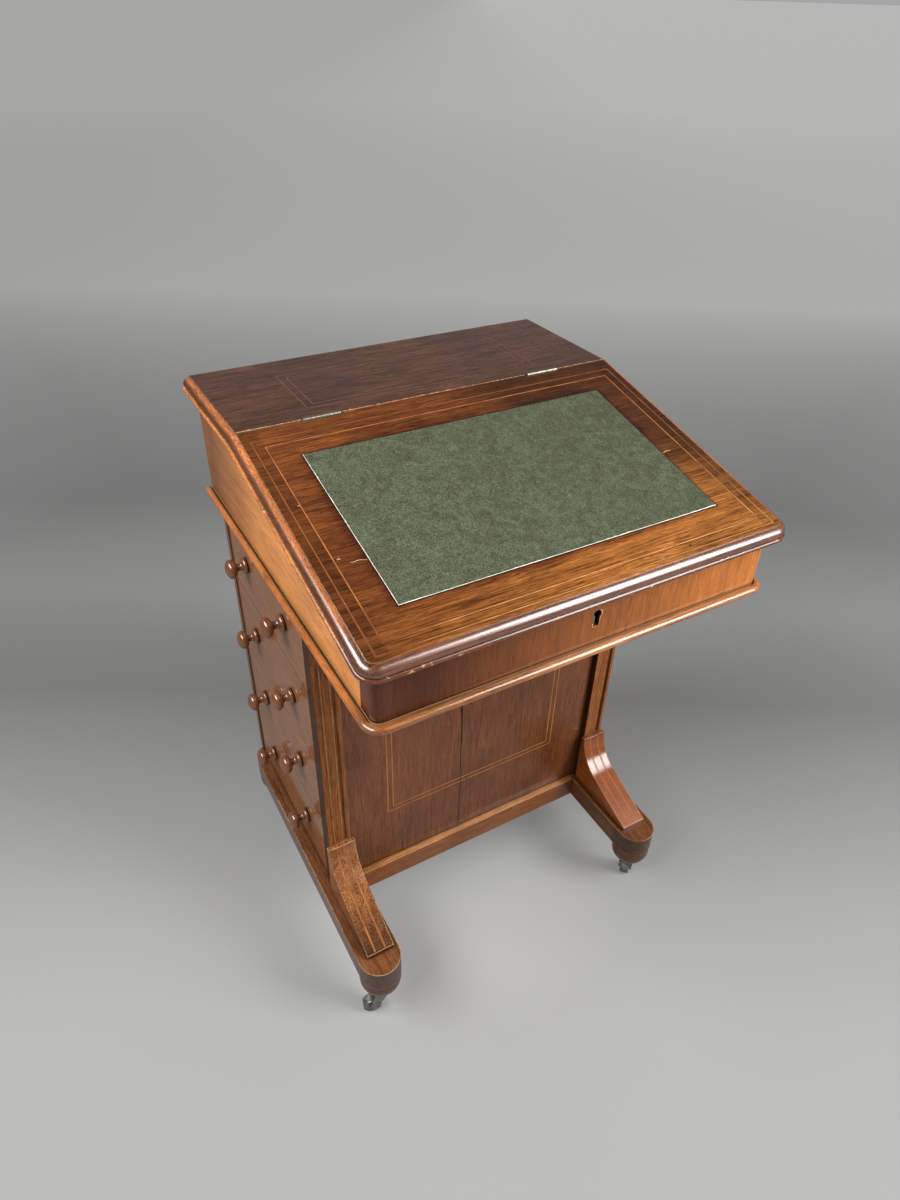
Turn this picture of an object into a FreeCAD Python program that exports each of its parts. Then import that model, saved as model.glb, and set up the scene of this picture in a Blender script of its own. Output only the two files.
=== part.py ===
import FreeCAD, Part
import math
import os

Vector = FreeCAD.Vector

# A davenport: a sloping writing box that overhangs a pedestal of drawers, on two sledge runners with castors.
# Millimetres and degrees. +Z is up, the sitter is at -Y, the drawers open to -X, and the origin is on the
# floor under the middle of the whole desk.

# Heights of the tiers, from the floor up
castor_height = 62.0
bun_height = 40.0
runner_height = 38.0
pedestal_height = 529.0
box_rear_height = 173.0

# Writing box
box_width = 517.0
box_depth = 536.0
flat_top_depth = 192.4
box_corner_radius = 11.0
side_thickness = 14.0
corner_post_width = 22.0
corner_post_run = 29.0
box_back_thickness = 12.0
box_floor_thickness = 10.0
base_flat = 3.0
base_quirk_width = 2.0
base_quirk_depth = 2.5

# Flat top and lid, with the moulded edge that runs round both
top_thickness = 18.6
lid_slope = 12.3
lid_corner_radius = 10.0
side_overhang = 17.0
front_overhang = 16.8
edge_step = 1.0
edge_step_width = 0.3
ovolo_radius = 9.0
ovolo_flat = 0.8
edge_quirk_inset = 0.5
edge_quirk_height = 1.2
bead_projection = 2.5
joint_gap = 0.8
lid_rest_gap = 0.3
leather_width = 414.0
leather_length = 244.0
leather_from_joint = 61.0
leather_thickness = 1.2
leather_proud = 0.5

# Butt hinges of the lid
hinge_length = 48.0
hinge_spacing = 317.0
barrel_radius = 3.0
hinge_pin_radius = 1.5
leaf_thickness = 1.5
leaf_drop = 15.0
barrel_clearance = 0.4
knuckle_share = 0.36

# Box lock in the front rail, and the staple under the lid
lock_offset = 7.0
lock_cover = 3.0
lock_height = 50.0
lock_wall = 2.0
bolt_height = 3.6
bolt_thickness = 2.8
bolt_engagement = 2.5
bolt_nose_spare = 2.5
bolt_body_length = 10.0
bolt_rest_gap = 1.5
staple_thickness = 4.0
staple_wall = 1.5
staple_eye_depth = 8.0
staple_eye_play = 0.6
staple_play = 0.8
staple_plate_length = 30.0
staple_plate_margin = 3.0
staple_plate_thickness = 2.0
keyhole_radius = 6.0
keyhole_slot_width = 8.0
keyhole_slot_length = 15.5
keyhole_drop = 28.7
lock_eye_shift = 4.0

# Pedestal
knee_depth = 203.3
pedestal_inset = 8.5
pilaster_width = 34.0
pilaster_depth = 23.0
niche_border = 5.0
niche_depth = 3.5
niche_head_drop = 71.0
panel_setback = 9.0
rear_post_depth = 12.0
back_panel_setback = 2.0
side_panel_thickness = 10.0
pedestal_bottom_thickness = 12.0
top_rail_height = 13.0
top_rail_width = 20.0
dust_board_thickness = 8.0
bottom_rail_thickness = 11.0

# Drawers
drawer_count = 4
drawer_setback = 2.0
drawer_front_thickness = 16.0
dummy_front_thickness = 12.0
drawer_side_thickness = 9.0
drawer_back_thickness = 8.0
drawer_bottom_thickness = 5.0
drawer_bottom_lift = 5.0
drawer_seam = 1.2
drawer_rear_room = 8.0
drawer_head_room = 4.0
drawer_side_room = 0.8
knob_inset = 75.0

# Turned knob, along its own axis from the drawer's face
knob_collar_length = 7.0
knob_waist_radius = 9.0
knob_cove_length = 9.0
knob_cove_depth = 4.0
knob_head_swell = 5.0
knob_underside_height = 6.5
knob_crown_height = 8.5
knob_shoulder_share = 0.7
knob_spigot_radius = 5.0
knob_spigot_length = 10.0

# Sledge feet
runner_width = 62.0
runner_inset = 14.0
runner_projection = 165.0
bracket_width = 42.0
bracket_height = 100.0
bracket_length = 132.5
bracket_ledge = 7.0
bracket_end_height = 7.0
bracket_cove_radius = 62.0

# Turned bun and castor
bun_radius = 30.0
bun_neck_radius = 15.0
bun_rim_height = 5.0
castor_plate_radius = 13.5
castor_plate_thickness = 3.0
castor_pin_radius = 4.0
castor_pin_in_bun = 24.0
castor_trail = 15.0
castor_wheel_radius = 14.0
castor_wheel_width = 15.0
castor_wheel_round = 2.0
castor_axle_radius = 2.5
castor_boss_radius = 9.0
castor_boss_height = 10.0
castor_bridge_thickness = 4.0
castor_cheek_thickness = 3.0
castor_cheek_gap = 0.6
castor_cheek_end_radius = 6.0
castor_swing = {"front_left": 165.0, "front_right": 40.0, "rear_left": 330.0, "rear_right": 250.0}

# Clearances, and how far a cutting tool runs past what it cuts
seat_gap = 0.3
fit_gap = 0.05
overrun = 5.0

# Levels, walls and lines that the pieces share
slope = math.radians(lid_slope)
runner_bottom_z = castor_height + bun_height
runner_top_z = runner_bottom_z + runner_height
box_floor_z = runner_top_z + pedestal_height
box_inside_z = box_floor_z + box_floor_thickness
top_z = box_floor_z + box_rear_height
top_under_z = top_z - top_thickness
lid_thickness = top_thickness * math.cos(slope)
bead_top_depth = edge_step + ovolo_radius + ovolo_flat + edge_quirk_height
edge_projection = edge_step_width + ovolo_radius + bead_projection
desk_depth = box_depth + front_overhang
lid_bead_radius = (lid_thickness - bead_top_depth) / 2
bead_set_back = (lid_thickness - lid_bead_radius) * math.sin(slope)
lid_reach = desk_depth - flat_top_depth - lid_bead_radius + bead_set_back
lid_length = lid_reach / math.cos(slope) - edge_projection + lid_bead_radius
back_y = desk_depth / 2
joint_y = back_y - flat_top_depth
box_front_y = back_y - box_depth
box_half = box_width / 2
staple_eye_width = bolt_thickness + 2 * staple_eye_play
staple_eye_height = bolt_height + 2 * staple_eye_play
staple_width = staple_eye_width + 2 * staple_wall
staple_depth = staple_eye_depth + staple_eye_height / 2 + staple_wall
staple_room = staple_width * math.cos(slope) + staple_depth * math.sin(slope) + 2 * staple_play
lock_thickness = staple_room + 2 * lock_wall
front_rail_thickness = lock_thickness + lock_cover
bolt_travel = bolt_rest_gap + staple_thickness + bolt_engagement
bolt_nose_length = bolt_travel + bolt_nose_spare
lock_half = staple_thickness / 2 + 2 * bolt_rest_gap + bolt_nose_length + bolt_body_length + lock_wall
top_half = box_half + side_overhang - edge_projection
pedestal_front_y = box_front_y + knee_depth
pedestal_half = box_half - pedestal_inset
panel_half = pedestal_half - pilaster_width
panel_front_y = pedestal_front_y + panel_setback
drawer_front_y = pedestal_front_y + pilaster_depth
drawer_rear_y = back_y - rear_post_depth
drawer_face_x = pedestal_half - drawer_setback
side_panel_x = drawer_face_x - dummy_front_thickness - side_panel_thickness
drawer_pitch = (pedestal_height - top_rail_height) / drawer_count
pilaster_x = pedestal_half - pilaster_width / 2
runner_x = pedestal_half - runner_inset
runner_half = runner_width / 2
runner_front_y = pedestal_front_y - runner_projection
foot_front_y = runner_front_y + runner_half
foot_rear_y = back_y - runner_half


def lid_under_z(y):
    """Height of the surface that the closed lid rests over, at depth y."""
    return top_under_z - lid_rest_gap - (joint_y - y) * math.tan(slope)


def block(x0, x1, y0, y1, z0, z1):
    """Box between two values along each axis."""
    return Part.makeBox(x1 - x0, y1 - y0, z1 - z0, Vector(x0, y0, z0))


def upright(radius, x, y, z0, z1):
    """Vertical cylinder."""
    return Part.makeCylinder(radius, z1 - z0, Vector(x, y, z0))


def crosswise(radius, x0, x1, y, z):
    """Cylinder along X."""
    return Part.makeCylinder(radius, x1 - x0, Vector(x0, y, z), Vector(1, 0, 0))


def side_slab(points, x0, x1):
    """Outline of (y, z) points, extruded along X from x0 to x1."""
    wire = Part.makePolygon([Vector(x0, y, z) for y, z in points + points[:1]])
    return Part.Face(wire).extrude(Vector(x1 - x0, 0, 0))


def mirrored(shape):
    """The same piece for the other side of the desk."""
    return shape.mirror(Vector(0, 0, 0), Vector(1, 0, 0))


def fused(shapes):
    """One solid out of shapes that meet."""
    return shapes[0].multiFuse(shapes[1:]).removeSplitter()


def arc(start, middle, end):
    """Edge of a round stretch through three points."""
    return Part.Arc(start, middle, end).toShape()


def line(start, end):
    """Straight edge."""
    return Part.LineSegment(start, end).toShape()


def round_point(centre, radius, angle):
    """Point on a circle in the XZ plane, with the angle in degrees from +X towards +Z."""
    turn = math.radians(angle)
    return centre + Vector(radius * math.cos(turn), 0, radius * math.sin(turn))


def top_edge_profile(thickness):
    """Cross-section of the lid's moulding in XZ: step, ovolo, quirk and bead, from the arris outwards."""
    ovolo_centre = Vector(edge_step_width, 0, -edge_step - ovolo_radius)
    ovolo_top = round_point(ovolo_centre, ovolo_radius, 90)
    ovolo_side = round_point(ovolo_centre, ovolo_radius, 0)
    ovolo_foot = ovolo_side - Vector(0, 0, ovolo_flat)
    bead_radius = (thickness - bead_top_depth) / 2
    bead_centre = Vector(edge_projection - bead_radius, 0, bead_radius - thickness)
    bead_top = round_point(bead_centre, bead_radius, 90)
    bead_foot = round_point(bead_centre, bead_radius, -90)
    quirk_x = min(ovolo_foot.x, bead_top.x) - edge_quirk_inset
    quirk_top = Vector(quirk_x, 0, ovolo_foot.z)
    quirk_foot = Vector(quirk_x, 0, bead_top.z)
    inner_x = -lid_corner_radius / 2
    inner_top = Vector(inner_x, 0, 0)
    inner_foot = Vector(inner_x, 0, -thickness)
    arris = Vector(0, 0, 0)
    step_foot = Vector(0, 0, -edge_step)
    edges = [
        line(inner_top, arris),
        line(arris, step_foot),
        line(step_foot, ovolo_top),
        arc(ovolo_top, round_point(ovolo_centre, ovolo_radius, 45), ovolo_side),
        line(ovolo_side, ovolo_foot),
        line(ovolo_foot, quirk_top),
        line(quirk_top, quirk_foot),
        line(quirk_foot, bead_top),
        arc(bead_top, round_point(bead_centre, bead_radius, 0), bead_foot),
        line(bead_foot, inner_foot),
        line(inner_foot, inner_top),
    ]
    return Part.Face(Part.Wire(edges))


def base_profile():
    """Cross-section of the box's base moulding in XZ: a quirk beside the box, a flat and a half-round."""
    height = box_floor_thickness
    radius = height / 2
    nose_x = base_quirk_width + base_flat
    centre = Vector(nose_x, 0, radius)
    quirk_z = height - base_quirk_depth
    inner_foot = Vector(0, 0, 0)
    nose_foot = Vector(nose_x, 0, 0)
    nose_top = Vector(nose_x, 0, height)
    quirk_top = Vector(base_quirk_width, 0, height)
    quirk_foot = Vector(base_quirk_width, 0, quirk_z)
    inner_top = Vector(0, 0, quirk_z)
    edges = [
        line(inner_foot, nose_foot),
        arc(nose_foot, round_point(centre, radius, 0), nose_top),
        line(nose_top, quirk_top),
        line(quirk_top, quirk_foot),
        line(quirk_foot, inner_top),
        line(inner_top, inner_foot),
    ]
    return Part.Face(Part.Wire(edges))


def moulding_run(profile, half_width, front_y, rear_y, radius):
    """Moulding along both sides and the front of a board, bent round its two front corners."""
    corner_x = half_width - radius
    corner_y = front_y + radius
    at_side = profile.translated(Vector(half_width, corner_y, 0))
    side = at_side.extrude(Vector(0, rear_y - corner_y, 0))
    bend = at_side.revolve(Vector(corner_x, corner_y, 0), Vector(0, 0, 1), -90)
    facing = profile.rotated(Vector(0, 0, 0), Vector(0, 0, 1), -90)
    front = facing.translated(Vector(-corner_x, front_y, 0)).extrude(Vector(2 * corner_x, 0, 0))
    return fused([side, bend, front, mirrored(bend), mirrored(side)])


def rounded_plan(half_width, front_y, rear_y, radius, z0, z1):
    """Board with its two front corners rounded in plan."""
    slab = block(-half_width, half_width, front_y, rear_y, z0, z1)
    corners = [edge for edge in slab.Edges
               if edge.BoundBox.ZLength > (z1 - z0) / 2 and edge.BoundBox.YMax < (front_y + rear_y) / 2]
    return slab.makeFillet(radius, corners)


def to_lid(shape):
    """Moves a shape from the lid's own plane, with the joint at y = 0, to its slope on the desk."""
    turned = shape.rotated(Vector(0, 0, 0), Vector(1, 0, 0), lid_slope)
    return turned.translated(Vector(0, joint_y, top_z))


def over_lid_rest():
    """Everything above the slope that the lid rests over, for cutting the box's boards to it."""
    front = box_front_y - overrun
    high = top_z + overrun
    points = [(front, lid_under_z(front)), (joint_y, lid_under_z(joint_y)), (joint_y, high), (front, high)]
    return side_slab(points, -box_half - overrun, box_half + overrun)


def barrel_room(hinge_x):
    """Round groove and two leaf recesses that one hinge needs in the lid and the flat top."""
    half = hinge_length / 2 + barrel_clearance
    groove = crosswise(barrel_radius + barrel_clearance, hinge_x - half, hinge_x + half, joint_y, top_z)
    reach = joint_gap / 2 + leaf_thickness
    leaves = block(hinge_x - half, hinge_x + half, joint_y - reach, joint_y + reach,
                   top_z - leaf_drop - fit_gap, top_z)
    return fused([groove, leaves])


def hinge_places():
    """X of the middle of each hinge."""
    return [-hinge_spacing / 2, hinge_spacing / 2]


def box_pieces():
    """Boards of the writing box, its base moulding and the fixed flat top."""
    pieces = {}
    slope_cut = over_lid_rest()
    post_rear_y = box_front_y + corner_post_run
    outline = [
        (post_rear_y, box_inside_z), (back_y, box_inside_z), (back_y, top_under_z), (joint_y, top_under_z),
        (joint_y, lid_under_z(joint_y)), (post_rear_y, lid_under_z(post_rear_y)),
    ]
    side = side_slab(outline, box_half - side_thickness, box_half)
    pieces["box_right_side"] = side
    pieces["box_left_side"] = mirrored(side)

    post = block(box_half - corner_post_width, box_half, box_front_y, post_rear_y, box_inside_z, top_z)
    post = post.common(rounded_plan(box_half, box_front_y, back_y, box_corner_radius, box_inside_z, top_z))
    post = post.cut(slope_cut)
    pieces["box_corner_posts"] = Part.Compound([post, mirrored(post)])

    rail_half = box_half - corner_post_width
    rail_rear_y = box_front_y + front_rail_thickness
    rail = block(-rail_half, rail_half, box_front_y, rail_rear_y, box_inside_z, top_z).cut(slope_cut)
    key_room = keyhole(lock_offset, box_front_y - overrun, rail_rear_y)
    pieces["box_front_rail"] = rail.cut(lock_room()).cut(key_room)

    inner_half = box_half - side_thickness
    pieces["box_back"] = block(-inner_half, inner_half, back_y - box_back_thickness, back_y,
                               box_inside_z, top_under_z)
    pieces["box_floor"] = rounded_plan(box_half, box_front_y, back_y, box_corner_radius,
                                       box_floor_z, box_inside_z)
    base = moulding_run(base_profile(), box_half, box_front_y, back_y, box_corner_radius)
    pieces["box_base_moulding"] = base.translated(Vector(0, 0, box_floor_z))

    front_y = joint_y + joint_gap / 2
    edge = top_edge_profile(top_thickness).translated(Vector(top_half, front_y, 0))
    edge = edge.extrude(Vector(0, back_y - front_y, 0))
    board = block(-top_half, top_half, front_y, back_y, -top_thickness, 0)
    top = fused([board, edge, mirrored(edge)]).translated(Vector(0, 0, top_z))
    for hinge_x in hinge_places():
        top = top.cut(barrel_room(hinge_x))
    pieces["flat_top"] = top
    return pieces


def lid_pieces():
    """Writing slope with its moulded edge and its leather."""
    pieces = {}
    core = rounded_plan(top_half, -lid_length, overrun, lid_corner_radius, -lid_thickness, 0)
    edge = moulding_run(top_edge_profile(lid_thickness), top_half, -lid_length, overrun, lid_corner_radius)
    front_y = -leather_from_joint - leather_length
    leather = block(-leather_width / 2, leather_width / 2, front_y, -leather_from_joint,
                    leather_proud - leather_thickness, leather_proud)
    board = to_lid(fused([core, edge]).cut(leather))
    reach = top_half + side_overhang
    behind = block(-reach, reach, joint_y - joint_gap / 2, joint_y + lid_length,
                   box_floor_z, top_z + lid_length)
    board = board.cut(behind)
    for hinge_x in hinge_places():
        board = board.cut(barrel_room(hinge_x))
    pieces["lid_board"] = board.cut(staple_plate(fit_gap))
    pieces["lid_leather"] = to_lid(leather)
    return pieces


def hinge_pieces():
    """Leaves and pins of the two butt hinges, the lid's knuckle between the top's two."""
    top_leaves = []
    lid_leaves = []
    pins = []
    lid_knuckle_half = hinge_length * knuckle_share / 2
    end = hinge_length / 2
    bore = hinge_pin_radius + fit_gap
    tab_top_z = top_z - hinge_pin_radius - fit_gap
    plate_top_z = top_z - barrel_radius - barrel_clearance
    leaf_foot_z = top_z - leaf_drop
    near = joint_gap / 2
    far = near + leaf_thickness
    for hinge_x in hinge_places():
        pins.append(crosswise(hinge_pin_radius, hinge_x - end, hinge_x + end, joint_y, top_z))
        plate = block(hinge_x - end, hinge_x + end, joint_y + near, joint_y + far, leaf_foot_z, plate_top_z)
        knuckles = [plate]
        inner = lid_knuckle_half + barrel_clearance / 2
        for x0, x1 in [(hinge_x - end, hinge_x - inner), (hinge_x + inner, hinge_x + end)]:
            ring = crosswise(barrel_radius, x0, x1, joint_y, top_z)
            tab = block(x0, x1, joint_y + near, joint_y + far, plate_top_z, tab_top_z)
            knuckles.append(fused([ring, tab]))
        hole = crosswise(bore, hinge_x - end - overrun, hinge_x + end + overrun, joint_y, top_z)
        top_leaves.append(fused(knuckles).cut(hole))
        plate = block(hinge_x - end, hinge_x + end, joint_y - far, joint_y - near, leaf_foot_z, plate_top_z)
        x0 = hinge_x - lid_knuckle_half + barrel_clearance / 2
        x1 = hinge_x + lid_knuckle_half - barrel_clearance / 2
        ring = crosswise(barrel_radius, x0, x1, joint_y, top_z)
        tab = block(x0, x1, joint_y - far, joint_y - near, plate_top_z, tab_top_z)
        lid_leaves.append(fused([plate, ring, tab]).cut(hole))
    return {
        "hinge_leaves_top": Part.Compound(top_leaves),
        "hinge_leaves_lid": Part.Compound(lid_leaves),
        "hinge_pins": Part.Compound(pins),
    }


def lock_box():
    """Outer limits of the lock case: x0, x1, y0, y1, z0, z1, flush with the rail's inner face."""
    rear_y = box_front_y + front_rail_thickness
    front_y = rear_y - lock_thickness
    high_z = lid_under_z(front_y) - seat_gap
    return lock_offset - lock_half, lock_offset + lock_half, front_y, rear_y, high_z - lock_height, high_z


def lock_room():
    """Pocket for the lock case in the front rail, open at the rail's inner face and top."""
    x0, x1, y0, y1, z0, z1 = lock_box()
    return block(x0 - fit_gap, x1 + fit_gap, y0 - fit_gap, y1 + overrun, z0 - fit_gap, top_z)


def staple_root_y():
    """Depth at which the staple leaves the lid's underside, so that it hangs in the middle of the lock."""
    y0, y1 = lock_box()[2:4]
    return (y0 + y1) / 2 - staple_depth / 2 * math.sin(slope)


def under_lid(shape):
    """Moves a shape drawn under the point (0, 0, 0) to the lid's underside over the lock."""
    back = (joint_y - staple_root_y()) / math.cos(slope) + lid_thickness * math.tan(slope)
    return to_lid(shape.translated(Vector(lock_offset, -back, -lid_thickness)))


def staple_plate(gap):
    """Plate of the staple, let into the lid's underside."""
    half = staple_plate_length / 2 + gap
    across = staple_width / 2 + staple_plate_margin + gap
    return under_lid(block(-half, half, -across, across, 0, staple_plate_thickness + gap))


def bolt_centre_z():
    """Height of the middle of the bolt's nose, which is that of the staple's eye."""
    return lid_under_z(staple_root_y()) + lid_rest_gap - staple_eye_depth * math.cos(slope)


def bolt_centre_y():
    """Depth of the middle of the bolt's nose."""
    return staple_root_y() + staple_eye_depth * math.sin(slope)


def lock_floor_z():
    """Height of the floor that the bolt slides on, which the staple hangs clear of."""
    root_z = lid_under_z(staple_root_y()) + lid_rest_gap
    return root_z - staple_depth * math.cos(slope) - staple_width / 2 * math.sin(slope) - staple_play


def keyhole(x, y0, y1):
    """Keyhole at x through whatever lies between two depths: a round eye with a slot below it."""
    eye_z = lid_under_z(box_front_y) - keyhole_drop
    eye = Part.makeCylinder(keyhole_radius, y1 - y0, Vector(x, y0, eye_z), Vector(0, 1, 0))
    half = keyhole_slot_width / 2
    slot = block(x - half, x + half, y0, y1, eye_z - keyhole_slot_length, eye_z)
    return fused([eye, slot])


def lock_pieces():
    """Lock case with a slot for the staple, its sliding bolt, and the staple under the lid."""
    x0, x1, y0, y1, z0, z1 = lock_box()
    case = block(x0, x1, y0, y1, z0, z1)
    floor_z = lock_floor_z()
    inner_y0 = y0 + lock_wall
    inner_y1 = y1 - lock_wall
    bolt_room = block(x0 + lock_wall, x1 - lock_wall, inner_y0, inner_y1, floor_z, z1 - lock_wall)
    works = block(x0 + lock_wall, x1 - lock_wall, inner_y0, inner_y1, z0 + lock_wall, floor_z - lock_wall)
    slot_half = staple_thickness / 2 + staple_play
    slot = block(lock_offset - slot_half, lock_offset + slot_half, inner_y0, inner_y1, floor_z, z1 + overrun)
    key_room = keyhole(lock_offset + lock_eye_shift, y0 - overrun, inner_y0 + overrun)
    case = case.cut(bolt_room).cut(works).cut(slot).cut(key_room)

    nose_tip_x = lock_offset - staple_thickness / 2 - bolt_rest_gap
    body_x1 = nose_tip_x - bolt_nose_length
    half_thick = bolt_thickness / 2
    high_z = bolt_centre_z() + bolt_height / 2
    nose = block(body_x1 - bolt_body_length, nose_tip_x, bolt_centre_y() - half_thick,
                 bolt_centre_y() + half_thick, high_z - bolt_height, high_z)
    body = block(body_x1 - bolt_body_length, body_x1, inner_y0 + seat_gap, inner_y1 - seat_gap,
                 floor_z + seat_gap, high_z)

    half = staple_thickness / 2
    wide = staple_width / 2
    shank = block(-half, half, -wide, wide, -staple_depth, staple_plate_thickness)
    eye = block(-half - overrun, half + overrun, -staple_eye_width / 2, staple_eye_width / 2,
                -staple_eye_depth - staple_eye_height / 2, -staple_eye_depth + staple_eye_height / 2)
    return {
        "lock_case": case,
        "lock_bolt": fused([nose, body]),
        "lock_staple": fused([staple_plate(0), under_lid(shank.cut(eye))]),
    }


def pedestal_pieces():
    """Carcass of the pedestal: pilasters, panels, posts, rails and boards."""
    pieces = {}
    pilaster = block(panel_half, pedestal_half, pedestal_front_y, drawer_front_y, runner_top_z, box_floor_z)
    niche_half = pilaster_width / 2 - niche_border
    niche_foot_z = runner_top_z + bracket_height
    niche_spring_z = box_floor_z - niche_head_drop - niche_half
    niche_rear_y = pedestal_front_y + niche_depth
    niche = block(pilaster_x - niche_half, pilaster_x + niche_half, pedestal_front_y - overrun, niche_rear_y,
                  niche_foot_z, niche_spring_z)
    head = Part.makeCylinder(niche_half, niche_depth + overrun,
                             Vector(pilaster_x, pedestal_front_y - overrun, niche_spring_z), Vector(0, 1, 0))
    pilaster = pilaster.cut(fused([niche, head]))
    pieces["pilaster_right"] = pilaster
    pieces["pilaster_left"] = mirrored(pilaster)
    pieces["front_panel"] = block(-panel_half, panel_half, panel_front_y, drawer_front_y,
                                  runner_top_z, box_floor_z)

    post = block(panel_half, pedestal_half, drawer_rear_y, back_y, runner_top_z, box_floor_z)
    pieces["rear_post_right"] = post
    pieces["rear_post_left"] = mirrored(post)
    pieces["back_panel"] = block(-panel_half, panel_half, drawer_rear_y, back_y - back_panel_setback,
                                 runner_top_z, box_floor_z)
    pieces["right_side_panel"] = block(side_panel_x, side_panel_x + side_panel_thickness,
                                       drawer_front_y, drawer_rear_y, runner_top_z, box_floor_z)

    rail_z = box_floor_z - top_rail_height
    left_rail = block(-drawer_face_x, -drawer_face_x + top_rail_width, drawer_front_y, drawer_rear_y,
                      rail_z, box_floor_z)
    right_rail = block(drawer_face_x - dummy_front_thickness, drawer_face_x, drawer_front_y, drawer_rear_y,
                       rail_z, box_floor_z)
    pieces["top_rails"] = Part.Compound([left_rail, right_rail])

    boards = []
    board_x = -drawer_face_x + drawer_front_thickness + seat_gap
    for step in range(1, drawer_count):
        middle_z = runner_top_z + step * drawer_pitch
        boards.append(block(board_x, side_panel_x, drawer_front_y, drawer_rear_y,
                            middle_z - dust_board_thickness / 2, middle_z + dust_board_thickness / 2))
    pieces["dust_boards"] = Part.Compound(boards)

    inner = runner_x - runner_half
    under_z = runner_top_z - pedestal_bottom_thickness
    pieces["pedestal_bottom"] = block(-inner, inner, panel_front_y, back_y - back_panel_setback,
                                      under_z, runner_top_z)
    pieces["bottom_rail_front"] = block(-inner, inner, panel_front_y - bottom_rail_thickness, panel_front_y,
                                        runner_bottom_z, runner_top_z)
    pieces["bottom_rail_back"] = block(-inner, inner, foot_rear_y - bottom_rail_thickness, foot_rear_y,
                                       runner_bottom_z, under_z)
    return pieces


def knob():
    """Turned knob along +Z from z = 0, with its spigot below: half-round collar, cove and mushroom head."""
    collar_half = knob_collar_length / 2
    collar_foot = Vector(knob_waist_radius, 0, 0)
    collar_side = Vector(knob_waist_radius + collar_half, 0, collar_half)
    collar_top = Vector(knob_waist_radius, 0, knob_collar_length)
    head_z = knob_collar_length + knob_cove_length
    cove = Vector(knob_waist_radius - knob_cove_depth, 0, (knob_collar_length + head_z) / 2)
    head_start = Vector(knob_waist_radius, 0, head_z)
    head_radius = knob_waist_radius + knob_head_swell
    widest_z = head_z + knob_underside_height
    head_side = Vector(head_radius, 0, widest_z)

    under_radius = (knob_head_swell ** 2 + knob_underside_height ** 2) / (2 * knob_head_swell)
    under_centre = Vector(head_radius - under_radius, 0, widest_z)
    under_turn = math.degrees(math.atan2(knob_underside_height, under_radius - knob_head_swell))
    under_middle = round_point(under_centre, under_radius, -under_turn / 2)

    shoulder_radius = knob_crown_height * knob_shoulder_share
    shoulder_centre = Vector(head_radius - shoulder_radius, 0, widest_z)
    spare = knob_crown_height - shoulder_radius
    crown_drop = (shoulder_centre.x ** 2 - spare ** 2) / (2 * spare)
    crown_centre = Vector(0, 0, widest_z - crown_drop)
    crown_radius = knob_crown_height + crown_drop
    crown_turn = math.degrees(math.atan2(crown_drop, shoulder_centre.x))
    shoulder_middle = round_point(shoulder_centre, shoulder_radius, crown_turn / 2)
    shoulder_end = round_point(shoulder_centre, shoulder_radius, crown_turn)
    crown_middle = round_point(crown_centre, crown_radius, (crown_turn + 90) / 2)
    crown = Vector(0, 0, widest_z + knob_crown_height)

    root = Vector(0, 0, -knob_spigot_length)
    spigot_end = Vector(knob_spigot_radius, 0, -knob_spigot_length)
    spigot_root = Vector(knob_spigot_radius, 0, 0)
    edges = [
        line(root, spigot_end),
        line(spigot_end, spigot_root),
        line(spigot_root, collar_foot),
        arc(collar_foot, collar_side, collar_top),
        arc(collar_top, cove, head_start),
        arc(head_start, under_middle, head_side),
        arc(head_side, shoulder_middle, shoulder_end),
        arc(shoulder_end, crown_middle, crown),
        line(crown, root),
    ]
    return Part.Face(Part.Wire(edges)).revolve(Vector(0, 0, 0), Vector(0, 0, 1), 360)


def knob_places():
    """Depth of each of the two knobs of a drawer."""
    return [drawer_front_y + knob_inset, drawer_rear_y - knob_inset]


def left_knobs(middle_z):
    """Two knobs on the face of a drawer whose middle is at the given height."""
    shapes = []
    for y in knob_places():
        turned = knob().rotated(Vector(0, 0, 0), Vector(0, 1, 0), -90)
        shapes.append(turned.translated(Vector(-drawer_face_x, y, middle_z)))
    return shapes


def left_front(index, thickness):
    """Face board of a drawer on the left side, bored for its knobs, and the height of its middle."""
    low_z = runner_top_z + index * drawer_pitch + drawer_seam / 2
    high_z = runner_top_z + (index + 1) * drawer_pitch - drawer_seam / 2
    middle_z = (low_z + high_z) / 2
    board = block(-drawer_face_x, -drawer_face_x + thickness, drawer_front_y + drawer_side_room,
                  drawer_rear_y - drawer_side_room, low_z, high_z)
    for y in knob_places():
        board = board.cut(crosswise(knob_spigot_radius + fit_gap, -drawer_face_x - overrun,
                                    -drawer_face_x + knob_spigot_length + fit_gap, y, middle_z))
    return board, middle_z


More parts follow.
